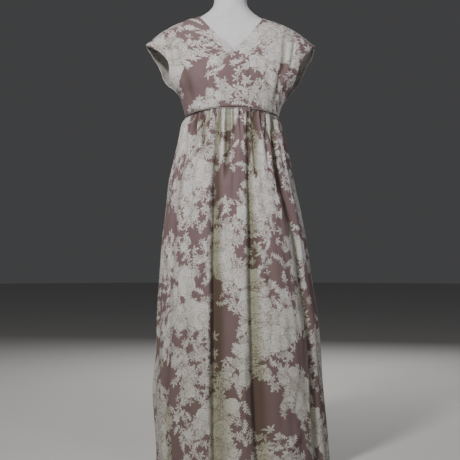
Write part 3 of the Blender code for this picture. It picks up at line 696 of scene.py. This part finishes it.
def bouquet_group():
    """How far inside a bouquet a place on the cloth is: above 0 in its mass, below 0 on the bare ground.

    Bouquets stand in a half-drop repeat, 330 mm across and 520 mm down, with a wandering edge.
    """
    tree, given, result = new_group("bouquet mass", (), ("Mass",))
    place = given["Cloth"]
    parts = add(tree, "SeparateXYZ", place, pick=None).outputs
    across = add(tree, "*", parts[0], 2.0 * math.pi / 0.330)
    down = add(tree, "*", parts[1], 2.0 * math.pi / 0.520)
    half_drop = add(tree, "*", ("Math COSINE", across), ("Math COSINE", down))
    sway = add(tree, "Math SINE", ("+", across, ("*", down, 2.0)))
    mass = add(tree, "*+", half_drop, 0.42, ("*", sway, 0.16))
    noise = {"Vector": place, "Scale": 6.4, "Detail": 2.0, "Roughness": 0.5}
    wander = add(tree, "TexNoise", noise, noise_dimensions="2D")
    fill(tree, result, {"Mass": ("+", mass, ("*+", wander, 3.6, -1.83))})
    return tree


def scatter_group(bouquet):
    """Cells of a loose layout, one motif to a cell, and a place's position in its own cell.

    Size is 0 in a cell that stays empty because it lies outside the bouquets or by chance.
    """
    tree, given, result = new_group("scattered cells", LAYOUT, ("Local", "Size"))
    shift, about_z = given["Shift"], {"rotation_type": "Z_AXIS"}
    turned = add(tree, "VectorRotate", {"Vector": given["Cloth"], "Angle": shift}, **about_z)
    cells = {
        "Vector": ("VectorMath ADD", turned, shift),
        "Scale": ("/", 1.0, given["Spacing"]),
        "Randomness": 0.5,
    }
    cell = add(tree, "TexVoronoi", cells, pick=None, voronoi_dimensions="2D").outputs
    chances = add(tree, "SeparateColor", cell["Color"], pick=None).outputs
    middle = add(tree, "VectorMath SUBTRACT", cell["Position"], shift)
    away = add(tree, "VectorMath SUBTRACT", turned, middle)
    spin = add(tree, "*", chances[0], 2.0 * math.pi)
    local = add(tree, "VectorRotate", {"Vector": away, "Angle": spin}, **about_z)
    centre = add(tree, "VectorRotate", {"Vector": middle, "Angle": ("*", shift, -1.0)}, **about_z)
    mass = add(tree, "Group", {"Cloth": centre}, node_tree=bouquet)
    inside = add(tree, "Math GREATER_THAN", ("-", mass, given["Edge"]), 0.0)
    here = add(tree, "*", inside, ("Math LESS_THAN", chances[1], given["Share"]))
    size = add(tree, "*", here, ("*+", chances[2], 0.35, 0.80))
    fill(tree, result, {"Local": local, "Size": size})
    return tree


def motif_group(name, inputs, outputs, scatter):
    """An empty node group for one kind of motif, with a place's position in its cell and the motif's size."""
    tree, given, result = new_group(name, (*LAYOUT, *inputs), ("Shape", "Off", *outputs))
    cells = {label: given[label] for label in ("Cloth", *LAYOUT)}
    cell = add(tree, "Group", cells, pick=None, node_tree=scatter).outputs
    return tree, given, result, add(tree, "SeparateXYZ", cell["Local"], pick=None).outputs, cell["Size"]


def petal_group(scatter):
    """Petals or leaflets that spread from a centre, over a scalloped disc.

    Shape is above 0 inside, in metres. Off is the distance from the nearest petal's midrib, and Out from the
    centre.
    """
    inputs = ("Reach", "Width", "Points", "Blunt", "Stretch", "Disc")
    tree, given, result, local, size = motif_group("spread petals", inputs, ("Out", "Angle"), scatter)
    out = add(tree, "VectorMath LENGTH", ("CombineXYZ", local[0], local[1]), pick="Value")
    angle = add(tree, "Math ARCTAN2", local[1], local[0])
    sector = add(tree, "/", 2.0 * math.pi, given["Points"])
    turn = add(tree, "Math PINGPONG", ("/", angle, sector), 0.5)
    aside = add(tree, "*", turn, sector)
    along = add(tree, "*", out, ("Math COSINE", aside))
    off = add(tree, "*", out, ("Math SINE", aside))
    lean = add(tree, "*+", ("Math COSINE", angle), given["Stretch"], 1.0)
    reach = add(tree, "*", ("*", given["Reach"], size), lean)
    share = add(tree, "/", along, ("Math MAXIMUM", reach, 0.1 * MM), use_clamp=True)
    swell = add(tree, "Math MAXIMUM", ("Math SINE", ("*", share, math.pi)), 0.0)
    swell = add(tree, "Math POWER", swell, given["Blunt"])
    half = add(tree, "*", ("*", reach, given["Width"]), swell)
    past = add(tree, "Math MAXIMUM", ("-", along, reach), 0.0)
    petal = add(tree, "-", ("-", half, off), past)
    scallop = add(tree, "*+", ("*", turn, turn), -0.55, 1.0)
    disc = add(tree, "*", ("*", given["Disc"], size), scallop)
    shape = add(tree, "Math MAXIMUM", petal, ("-", disc, out))
    shape = add(tree, "*+", ("Math LESS_THAN", size, 0.1), -1.0, shape)
    fill(tree, result, {"Shape": shape, "Off": off, "Out": out, "Angle": angle})
    return tree


def frond_group(scatter):
    """Leaflets in pairs along a stem, slanting forwards. Off is the distance from the stem."""
    inputs = ("Reach", "Breadth", "Pitch", "Cut")
    tree, given, result, local, size = motif_group("paired leaflets", inputs, (), scatter)
    # The stem bows to one side
    bow = add(tree, "/", ("*", local[0], local[0]), 0.11)
    off = add(tree, "Math ABSOLUTE", ("-", local[1], bow))
    reach = add(tree, "*", given["Reach"], size)
    share = add(tree, "/", local[0], ("Math MAXIMUM", reach, 0.1 * MM))
    share = add(tree, "*+", share, 0.5, 0.5, use_clamp=True)
    swell = add(tree, "Math MAXIMUM", ("Math SINE", ("*", share, math.pi)), 0.0)
    swell = add(tree, "Math POWER", swell, 0.6)
    slant = add(tree, "*+", off, -0.8, local[0])
    tooth = add(tree, "Math PINGPONG", ("/", slant, given["Pitch"]), 0.5)
    notch = add(tree, "*", ("*", tooth, 2.0), given["Cut"])
    half = add(tree, "*", given["Breadth"], swell)
    half = add(tree, "*", half, ("-", 1.0, notch))
    past = add(tree, "Math MAXIMUM", ("-", ("Math ABSOLUTE", local[0]), reach), 0.0)
    shape = add(tree, "-", half, ("+", off, past))
    shape = add(tree, "*+", ("Math LESS_THAN", size, 0.1), -1.0, shape)
    fill(tree, result, {"Shape": shape, "Off": off})
    return tree


def weave(tree, warp, weft, spacing):
    """Height of a plain weave, from the places across its two sets of threads."""
    turn = 2.0 * math.pi / spacing
    sines = [("Math SINE", ("*", place, turn)) for place in (warp, weft)]
    return add(tree, "*", *sines)


def pen_drawing(tree, drawn, ring):
    """Where the pen has drawn inside a motif, from 0 to 1."""
    if not ring:
        # A fine vein runs down the middle of each leaflet
        return add(tree, "MapRange", drawn["Off"], 0.35 * MM, 0.9 * MM, 0.8, 0.0)
    # The petals of a rose are scalloped rings that open into a spiral
    turned = add(tree, "*", drawn["Angle"], 1.0 / (2.0 * math.pi))
    spiral = add(tree, "*+", drawn["Out"], 1.0 / ROSE_RING, turned)
    turns = add(tree, "*", drawn["Angle"], 2.5)
    turns = add(tree, "*+", drawn["Out"], 0.9 / ROSE_RING, turns)
    bulge = add(tree, "Math ABSOLUTE", ("Math SINE", turns))
    petal = add(tree, "Math PINGPONG", ("*+", bulge, -0.55, spiral), 0.5)
    return add(tree, "MapRange", petal, 0.06, 0.12, 1.0, 0.0)


def printed_cloth(name, settings, wrong_side):
    """Light plain-weave cotton, printed on one side in cream bouquets on mauve-brown.

    The weave gives a matt surface with a soft bloom at grazing angles. The wrong side shows the print through
    the cloth, pale and greyed.
    """
    material, tree, shader = new_material(name)
    groups = bpy.data.node_groups
    bouquet = groups.get("bouquet mass") or bouquet_group()
    scatter = groups.get("scattered cells") or scatter_group(bouquet)
    petals = groups.get("spread petals") or petal_group(scatter)
    frond = groups.get("paired leaflets") or frond_group(scatter)
    flat = add(tree, "UVMap", uv_map="cloth")
    # The pen line wanders by about 1.5 mm over 10 mm, and whole petals by 6 mm over 40 mm
    quick = add(tree, "TexNoise", {"Vector": flat, "Scale": 100.0, "Detail": 1.0}, pick="Color")
    slow = add(tree, "TexNoise", {"Vector": flat, "Scale": 24.0, "Detail": 0.0}, pick="Color")
    quick = add(tree, "VectorMath SUBTRACT", quick, (0.5, 0.5, 0.5))
    slow = add(tree, "VectorMath SUBTRACT", slow, (0.5, 0.5, 0.5))
    place = add(tree, "VectorMath MULTIPLY_ADD", quick, (4.0 * MM, 4.0 * MM, 0.0), flat)
    loose = add(tree, "VectorMath MULTIPLY_ADD", slow, (26.0 * MM, 26.0 * MM, 0.0), place)
    # The mauve ground is a little uneven, as a dyed cotton is, over about 60 mm
    mottle = add(tree, "TexNoise", {"Vector": flat, "Scale": 16.0, "Detail": 2.0})
    uneven = add(tree, "*+", mottle, 0.5, 0.1, use_clamp=True)
    ground = add(tree, "MixRGB", uneven, linear(settings.ground_hex), linear(settings.ground_dark_hex))
    line = linear(settings.line_hex)
    # The flowers are shaded in washes 40 mm across
    wash = add(tree, "MapRange", ("TexNoise", {"Vector": flat, "Scale": 25.0}), 0.45, 0.70, 0.0, 0.32)
    cream = add(tree, "MixRGB", wash, linear(settings.cream_hex), line)
    # Between the motifs the bouquets are filled with small curled leaves, 12 mm across. Where the drawing is
    # dense the ground shows between them, and elsewhere they run together into smooth ribbons.
    dense = add(tree, "MapRange", ("TexNoise", {"Vector": flat, "Scale": 13.0}), 0.42, 0.58)
    bent = add(tree, "VectorMath MULTIPLY_ADD", slow, (20.0 * MM, 20.0 * MM, 0.0), place)
    leaves = {"Vector": bent, "Scale": 1.0 / (12.0 * MM)}
    curled = add(tree, "TexVoronoi", leaves, feature="DISTANCE_TO_EDGE", voronoi_dimensions="2D")
    curled = add(tree, "-", curled, ("*+", dense, 0.12, 0.02))
    contour = add(tree, "TexNoise", {"Vector": place, "Scale": 34.0, "Detail": 1.0})
    curls = add(tree, "Math PINGPONG", ("*", contour, 13.0), 0.5)
    filled = add(tree, "MixRGB", ("MapRange", curls, 0.07, 0.13, 0.9, 0.0), cream, line)
    behind = add(tree, "MixRGB", ("*", dense, 0.6), line, ground)
    filled = add(tree, "MixRGB", ("MapRange", curled, 0.0, 0.04, 1.0, 0.0), filled, behind)
    mass = add(tree, "Group", {"Cloth": place}, node_tree=bouquet)
    colour = add(tree, "MixRGB", ("MapRange", mass, 0.26, 0.28), ground, filled)
    edging = add(tree, "MixRGB", ("MapRange", mass, 0.0, 0.2, 0.3, 0.9), ground, line)
    for row in MOTIFS:
        sizes = row._asdict()
        ring = sizes.pop("ring", 0)
        inputs = {key.capitalize(): value * (MM if key in IN_MM else 1.0) for key, value in sizes.items()}
        inputs["Cloth"] = loose if ring else place
        motif = frond if isinstance(row, Frond) else petals
        drawn = add(tree, "Group", inputs, pick=None, node_tree=motif).outputs
        # A line about 1.5 mm wide is left round each motif, so that it stands off what is behind it
        colour = add(tree, "MixRGB", ("MapRange", drawn["Shape"], -1.5 * MM, -1.0 * MM), colour, edging)
        pen = add(tree, "*", pen_drawing(tree, drawn, ring), settings.line_strength)
        inside = add(tree, "MapRange", drawn["Shape"], 0.0, 0.5 * MM)
        colour = add(tree, "MixRGB", inside, colour, ("MixRGB", pen, cream, line))
    # Painted shade: the cloth is darkened to an olive tint down in its folds and towards the hem, where shade
    # falls
    aged = add(tree, "Attribute", pick="Fac", attribute_name="aged")
    shaded = add(tree, "MixRGB", 0.9, colour, linear(settings.aged_hex), blend_type="MULTIPLY")
    colour = add(tree, "MixRGB", aged, colour, shaded)
    if wrong_side:
        colour = add(tree, "MixRGB", 0.58, colour, linear(settings.wrong_side_hex))
    # Threads are 0.35 mm apart in the real cotton and drawn 1.1 mm apart, so that the weave shows up close
    parts = add(tree, "SeparateXYZ", flat, pick=None).outputs
    threads = weave(tree, parts[0], parts[1], 1.1 * MM)
    fine = add(tree, "Bump", {"Height": threads, "Strength": 0.35, "Distance": 0.06 * MM})
    # Soft unpressed rumples 10 to 40 mm across and about 1 mm high
    rumple = add(tree, "TexNoise", {"Vector": flat, "Scale": 26.0, "Detail": 3.0, "Roughness": 0.55})
    soft = add(tree, "Bump", {"Height": rumple, "Strength": 0.75, "Distance": 3.2 * MM, "Normal": fine})
    fill(tree, shader, {
        "Base Color": colour, "Normal": soft, "Roughness": ("MapRange", mottle, 0.3, 0.7, 0.70, 0.80),
        "IOR": 1.45, "Specular IOR Level": 0.35, "Sheen Weight": 0.12, "Sheen Roughness": 0.45,
    })
    return material


def cloth_sides(settings):
    """The right side of the printed cloth and its wrong side, made once."""
    names = ("printed cotton", "printed cotton, wrong side")
    return [
        bpy.data.materials.get(name) or printed_cloth(name, settings, wrong_side=(k == 1))
        for k, name in enumerate(names)
    ]


def linen_cover(name, settings):
    """Plain linen stretched over the form: matt, with slubby threads that catch the light a little."""
    material, tree, shader = new_material(name)
    place = add(tree, "TexCoord", pick="Object")
    cloudy = add(tree, "TexNoise", {"Vector": place, "Scale": 24.0, "Detail": 3.0})
    # Slubs: thicker stretches of thread, 12 mm long and 1 mm wide, down and across
    slubs = []
    for scale in ((900.0, 900.0, 70.0), (70.0, 70.0, 900.0)):
        drawn_out = add(tree, "Mapping", {"Vector": place, "Scale": scale})
        slubs.append(("TexNoise", {"Vector": drawn_out, "Scale": 1.0, "Detail": 1.0}))
    slub = add(tree, "Math MAXIMUM", *slubs)
    cover = linear(settings.cover_hex)
    tone = add(tree, "MapRange", ("*", slub, cloudy), 0.20, 0.42)
    # Threads are 0.5 mm apart and drawn 1.2 mm apart, so that the weave shows up close
    parts = add(tree, "SeparateXYZ", place, pick=None).outputs
    threads = weave(tree, parts[0], parts[2], 1.2 * MM)
    height = add(tree, "+", threads, ("*", slub, 1.5))
    fill(tree, shader, {
        "Base Color": ("MixRGB", tone, toned(cover, 0.86), cover),
        "Normal": ("Bump", {"Height": height, "Strength": 0.4, "Distance": 0.1 * MM}),
        "Roughness": ("MapRange", cloudy, 0.3, 0.7, 0.82, 0.92),
        "Sheen Weight": 0.10, "Sheen Roughness": 0.5,
    })
    return material


def grey_board(name, settings):
    """Pasted grey board that closes the neck: matt, flecked with fibre under a smoother pressed skin."""
    material, tree, shader = new_material(name)
    place = add(tree, "TexCoord", pick="Object")
    # Fibres and flecks of about 1.5 mm
    fleck = add(tree, "TexNoise", {"Vector": place, "Scale": 650.0, "Detail": 3.0})
    cloudy = add(tree, "TexNoise", {"Vector": place, "Scale": 30.0, "Detail": 2.0})
    base = linear(settings.board_hex)
    tone = add(tree, "MapRange", ("*+", cloudy, 0.3, fleck), 0.45, 0.75)
    fill(tree, shader, {
        "Base Color": ("MixRGB", tone, toned(base, 0.74), base),
        "Normal": ("Bump", {"Height": fleck, "Strength": 0.3, "Distance": 0.08 * MM}),
        "Roughness": ("MapRange", cloudy, 0.3, 0.7, 0.78, 0.90),
    })
    return material


def piping_cord(name, settings):
    """Bias-cut cotton wrapped round a fine cord: matt, mid grey, rubbed paler every few millimetres."""
    material, tree, shader = new_material(name)
    place = add(tree, "TexCoord", pick="Object")
    worn = add(tree, "TexNoise", {"Vector": place, "Scale": 180.0, "Detail": 2.0})
    base = linear(settings.piping_hex)
    fill(tree, shader, {
        "Base Color": ("MixRGB", ("MapRange", worn, 0.45, 0.75), base, toned(base, 1.6)),
        "Normal": ("Bump", {"Height": worn, "Strength": 0.3, "Distance": 0.2 * MM}),
        "Roughness": ("MapRange", worn, 0.3, 0.7, 0.72, 0.85),
    })
    return material


def powder_coat(name, settings):
    """Black powder-coated steel: a satin skin with a fine orange-peel grain 0.8 mm across."""
    material, tree, shader = new_material(name)
    place = add(tree, "TexCoord", pick="Object")
    peel = add(tree, "TexNoise", {"Vector": place, "Scale": 1250.0, "Detail": 1.0})
    dust = add(tree, "TexNoise", {"Vector": place, "Scale": 22.0, "Detail": 4.0})
    base = linear(settings.steel_hex)
    fill(tree, shader, {
        "Base Color": ("MixRGB", ("MapRange", dust, 0.45, 0.8), base, toned(base, 1.7, lift=0.004)),
        "Normal": ("Bump", {"Height": peel, "Strength": 0.25, "Distance": 0.05 * MM}),
        "Roughness": ("MapRange", dust, 0.3, 0.8, 0.36, 0.52),
    })
    return material


def studio_floor(name, settings):
    """Pale matt studio paper with barely visible unevenness."""
    material, tree, shader = new_material(name)
    place = add(tree, "TexCoord", pick="Object")
    cloudy = add(tree, "TexNoise", {"Vector": place, "Scale": 3.0, "Detail": 2.0})
    base = linear(settings.floor_hex)
    fill(tree, shader, {"Base Color": ("MixRGB", cloudy, toned(base, 0.96), base), "Roughness": 0.9})
    return material


class DressSettings(bpy.types.PropertyGroup):
    """Sizes and colours of the dress."""

    cloth_thickness: FloatProperty(
        name="Cloth thickness", description="Thickness of the shell", default=0.0008, min=0.0003, max=0.003,
        unit="LENGTH",
    )
    skirt_top_width: FloatProperty(
        name="Skirt panel, top", description="Width of a skirt panel's cut before it is gathered",
        default=0.86, min=0.5, max=1.5, unit="LENGTH",
    )
    skirt_hem_width: FloatProperty(
        name="Skirt panel, hem", description="Width of a skirt panel's cut at the hem", default=0.98,
        min=0.5, max=2.0, unit="LENGTH",
    )
    ground_hex: StringProperty(
        name="Ground", description="Colour of the cloth between the bouquets", default="#877172"
    )
    ground_dark_hex: StringProperty(
        name="Ground, darker", description="The same where the dye took more", default="#7a6465"
    )
    cream_hex: StringProperty(
        name="Print", description="Colour of the printed flowers and leaves", default="#e4e2e0"
    )
    line_hex: StringProperty(
        name="Pen line", description="Colour of the fine drawing in the flowers", default="#a0968e"
    )
    wrong_side_hex: StringProperty(
        name="Wrong side", description="Colour that veils the print on the inside", default="#d6d2ca"
    )
    # Painted shade: the tint that darkens the cloth down in its folds and towards the hem
    aged_hex: StringProperty(
        name="Shaded fold", description="Tint of the yellowed cotton down in a deep fold", default="#afb196"
    )
    line_strength: FloatProperty(
        name="Pen strength", description="How dark the fine drawing prints", default=0.75, min=0.0, max=1.0,
        subtype="FACTOR",
    )
    cover_hex: StringProperty(
        name="Form cover", description="Colour of the linen on the form", default="#f0f0f4"
    )
    board_hex: StringProperty(
        name="Neck cap", description="Colour of the board that closes the neck", default="#aaa69f"
    )
    piping_hex: StringProperty(
        name="Piping", description="Colour of the cord in the waist seam", default="#a39a92"
    )
    steel_hex: StringProperty(
        name="Stand", description="Colour of the stand's powder coat", default="#202021"
    )
    floor_hex: StringProperty(
        name="Floor", description="Colour of the studio floor", default="#cccac7"
    )


def paint(piece, material):
    """Gives a piece one material in place of what it has."""
    piece.data.materials.clear()
    piece.data.materials.append(material)


def refine_form(node, name, material):
    """A smooth copy of a coarse node of the form: merged, made of squares, and subdivided."""
    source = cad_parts[node]
    piece = bpy.data.objects.new(name, source.data.copy())
    piece.data.name = name
    bpy.context.scene.collection.objects.link(piece)
    only(piece)
    bpy.ops.object.mode_set(mode="EDIT")
    bpy.ops.mesh.select_all(action="SELECT")
    bpy.ops.mesh.remove_doubles(threshold=0.00005)
    bpy.ops.mesh.tris_convert_to_quads(face_threshold=math.radians(60), shape_threshold=math.radians(60))
    # The rims stay sharp
    bpy.ops.mesh.select_all(action="DESELECT")
    bpy.ops.mesh.edges_select_sharp(sharpness=math.radians(55))
    bpy.ops.transform.edge_crease(value=1.0)
    bpy.ops.object.mode_set(mode="OBJECT")
    apply_modifier(piece, "SUBSURF", levels=2, render_levels=2, boundary_smooth="PRESERVE_CORNERS")
    paint(piece, material)
    only(piece)
    bpy.ops.object.shade_smooth_by_angle(angle=math.radians(45))
    return piece


class DRESS_OT_form(bpy.types.Operator):
    """Cover the form in linen, with its centre-front seam"""

    bl_idname = "dress.form"
    bl_label = "Form cover"

    def execute(self, context):
        settings = context.scene.dress
        cover = refine_form("form_torso", "form_cover_linen", linen_cover("stretched linen", settings))
        # The centre-front seam is a groove about 3 mm wide and 0.9 mm deep
        for point in cover.data.vertices:
            if point.co.y < -0.02:
                off = (point.co.x - SEAM_X) / (1.6 * MM)
                point.co.y += 0.9 * MM * math.exp(-off * off)
        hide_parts("form_torso")
        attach(cover, "root")
        paint(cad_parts["neck_cap"], grey_board("pasted grey board", settings))
        return {"FINISHED"}


class DRESS_OT_stand(bpy.types.Operator):
    """Give the pole and the base plate their powder coat"""

    bl_idname = "dress.stand"
    bl_label = "Stand"

    def execute(self, context):
        coat = powder_coat("powder-coated steel", context.scene.dress)
        for node in ("stand_pole", "stand_base"):
            paint(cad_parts[node], coat)
        return {"FINISHED"}


class DRESS_OT_bodice(bpy.types.Operator):
    """Make the front and back of the bodice"""

    bl_idname = "dress.bodice"
    bl_label = "Bodice"

    def execute(self, context):
        settings = context.scene.dress
        materials = cloth_sides(settings)
        for node, face, area in (("bodice_front", FRONT, 0.154), ("bodice_back", BACK, 0.185)):
            panel = bodice_panel(node + "_cloth", face, settings, materials)
            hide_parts(node)
            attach(panel, "root")
        return {"FINISHED"}


class DRESS_OT_skirt(bpy.types.Operator):
    """Make the front and back of the gathered skirt"""

    bl_idname = "dress.skirt"
    bl_label = "Skirt"

    def execute(self, context):
        settings = context.scene.dress
        materials = cloth_sides(settings)
        for node, face in (("skirt_front", FRONT), ("skirt_back", BACK)):
            panel = skirt_panel(node + "_cloth", face, settings, materials)
            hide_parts(node)
            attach(panel, "root")
        return {"FINISHED"}


class DRESS_OT_piping(bpy.types.Operator):
    """Make the fine piping in the waist seam"""

    bl_idname = "dress.piping"
    bl_label = "Waist piping"

    def execute(self, context):
        curve = bpy.data.curves.new("waist_piping_cord", "CURVE")
        curve.dimensions = "3D"
        curve.bevel_depth = PIPING_RADIUS
        curve.bevel_resolution = 2
        spline = curve.splines.new("POLY")
        turns = np.linspace(0.0, 2.0 * math.pi, 360, endpoint=False)
        spline.points.add(len(turns) - 1)
        for point, turn in zip(spline.points, turns):
            face = FRONT if math.cos(turn) > 0.0 else BACK
            height = waist_height(face, math.sin(turn))
            from_centre = turn if face == FRONT else math.pi - turn
            x, depth = ring_point(BODICE_RINGS, BODICE_POWER, face, from_centre, height)
            outward = 1.0 + PIPING_OUT / math.hypot(x, depth)
            point.co = (x * outward, face * depth * outward, height, 1.0)
        spline.use_cyclic_u = True
        piece = bpy.data.objects.new("waist_piping_cord", curve)
        bpy.context.scene.collection.objects.link(piece)
        only(piece)
        bpy.ops.object.convert(target="MESH")
        paint(piece, piping_cord("bias cotton piping", context.scene.dress))
        piece.data.shade_smooth()
        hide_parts("waist_piping")
        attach(piece, "root")
        return {"FINISHED"}


class DRESS_OT_studio(bpy.types.Operator):
    """Set up the pale floor, the soft lights and the camera"""

    bl_idname = "dress.studio"
    bl_label = "Studio"

    def execute(self, context):
        settings = context.scene.dress
        bpy.ops.object.select_all(action="DESELECT")
        bpy.ops.mesh.primitive_circle_add(vertices=96, radius=14.0, fill_type="NGON", location=(0, 0, 0))
        floor = context.active_object
        floor.name = "studio_floor"
        floor.data.materials.append(studio_floor("studio paper", settings))
        for name, place, aim, size, power, colour in LIGHTS:
            lamp = bpy.data.lights.new(name, "AREA")
            lamp.shape = "DISK"
            lamp.size = size
            lamp.energy = power
            lamp.color = linear(colour)[:3]
            holder = bpy.data.objects.new(name, lamp)
            holder.location = place
            holder.rotation_euler = (Vector(aim) - Vector(place)).to_track_quat("-Z", "Y").to_euler()
            context.scene.collection.objects.link(holder)
        world = bpy.data.worlds.new("studio")
        world.use_nodes = True
        world.node_tree.nodes["Background"].inputs["Color"].default_value = linear("#dcdde0")
        world.node_tree.nodes["Background"].inputs["Strength"].default_value = 0.08
        context.scene.world = world
        eye = bpy.data.cameras.new("camera")
        eye.sensor_width = 36.0
        eye.lens = 36.0 * CAMERA_DISTANCE / VIEW_WIDTH
        camera = bpy.data.objects.new("camera", eye)
        camera.location = (CAMERA_X, -CAMERA_DISTANCE, CAMERA_HEIGHT)
        camera.rotation_euler = (math.radians(90.0), 0.0, 0.0)
        context.scene.collection.objects.link(camera)
        context.scene.camera = camera
        return {"FINISHED"}


class DRESS_PT_panel(bpy.types.Panel):
    """Lists the pieces of the dress"""

    bl_label = "Dress"
    bl_space_type = "VIEW_3D"
    bl_region_type = "UI"
    bl_category = "Dress"

    def draw(self, context):
        for name in DressSettings.__annotations__:
            self.layout.prop(context.scene.dress, name)
        for operator in OPERATORS:
            self.layout.operator(operator.bl_idname)


OPERATORS = (
    DRESS_OT_form,
    DRESS_OT_stand,
    DRESS_OT_bodice,
    DRESS_OT_skirt,
    DRESS_OT_piping,
    DRESS_OT_studio,
)


def register():
    for item in (DressSettings, *OPERATORS, DRESS_PT_panel):
        bpy.utils.register_class(item)
    bpy.types.Scene.dress = PointerProperty(type=DressSettings)


def unregister():
    del bpy.types.Scene.dress
    for item in reversed((DressSettings, *OPERATORS, DRESS_PT_panel)):
        bpy.utils.unregister_class(item)


def main():
    register()
    bpy.ops.dress.form()
    bpy.ops.dress.stand()
    bpy.ops.dress.bodice()
    bpy.ops.dress.skirt()
    bpy.ops.dress.piping()
    bpy.ops.dress.studio()
    bpy.context.view_layer.update()


if __name__ == "__main__":
    main()
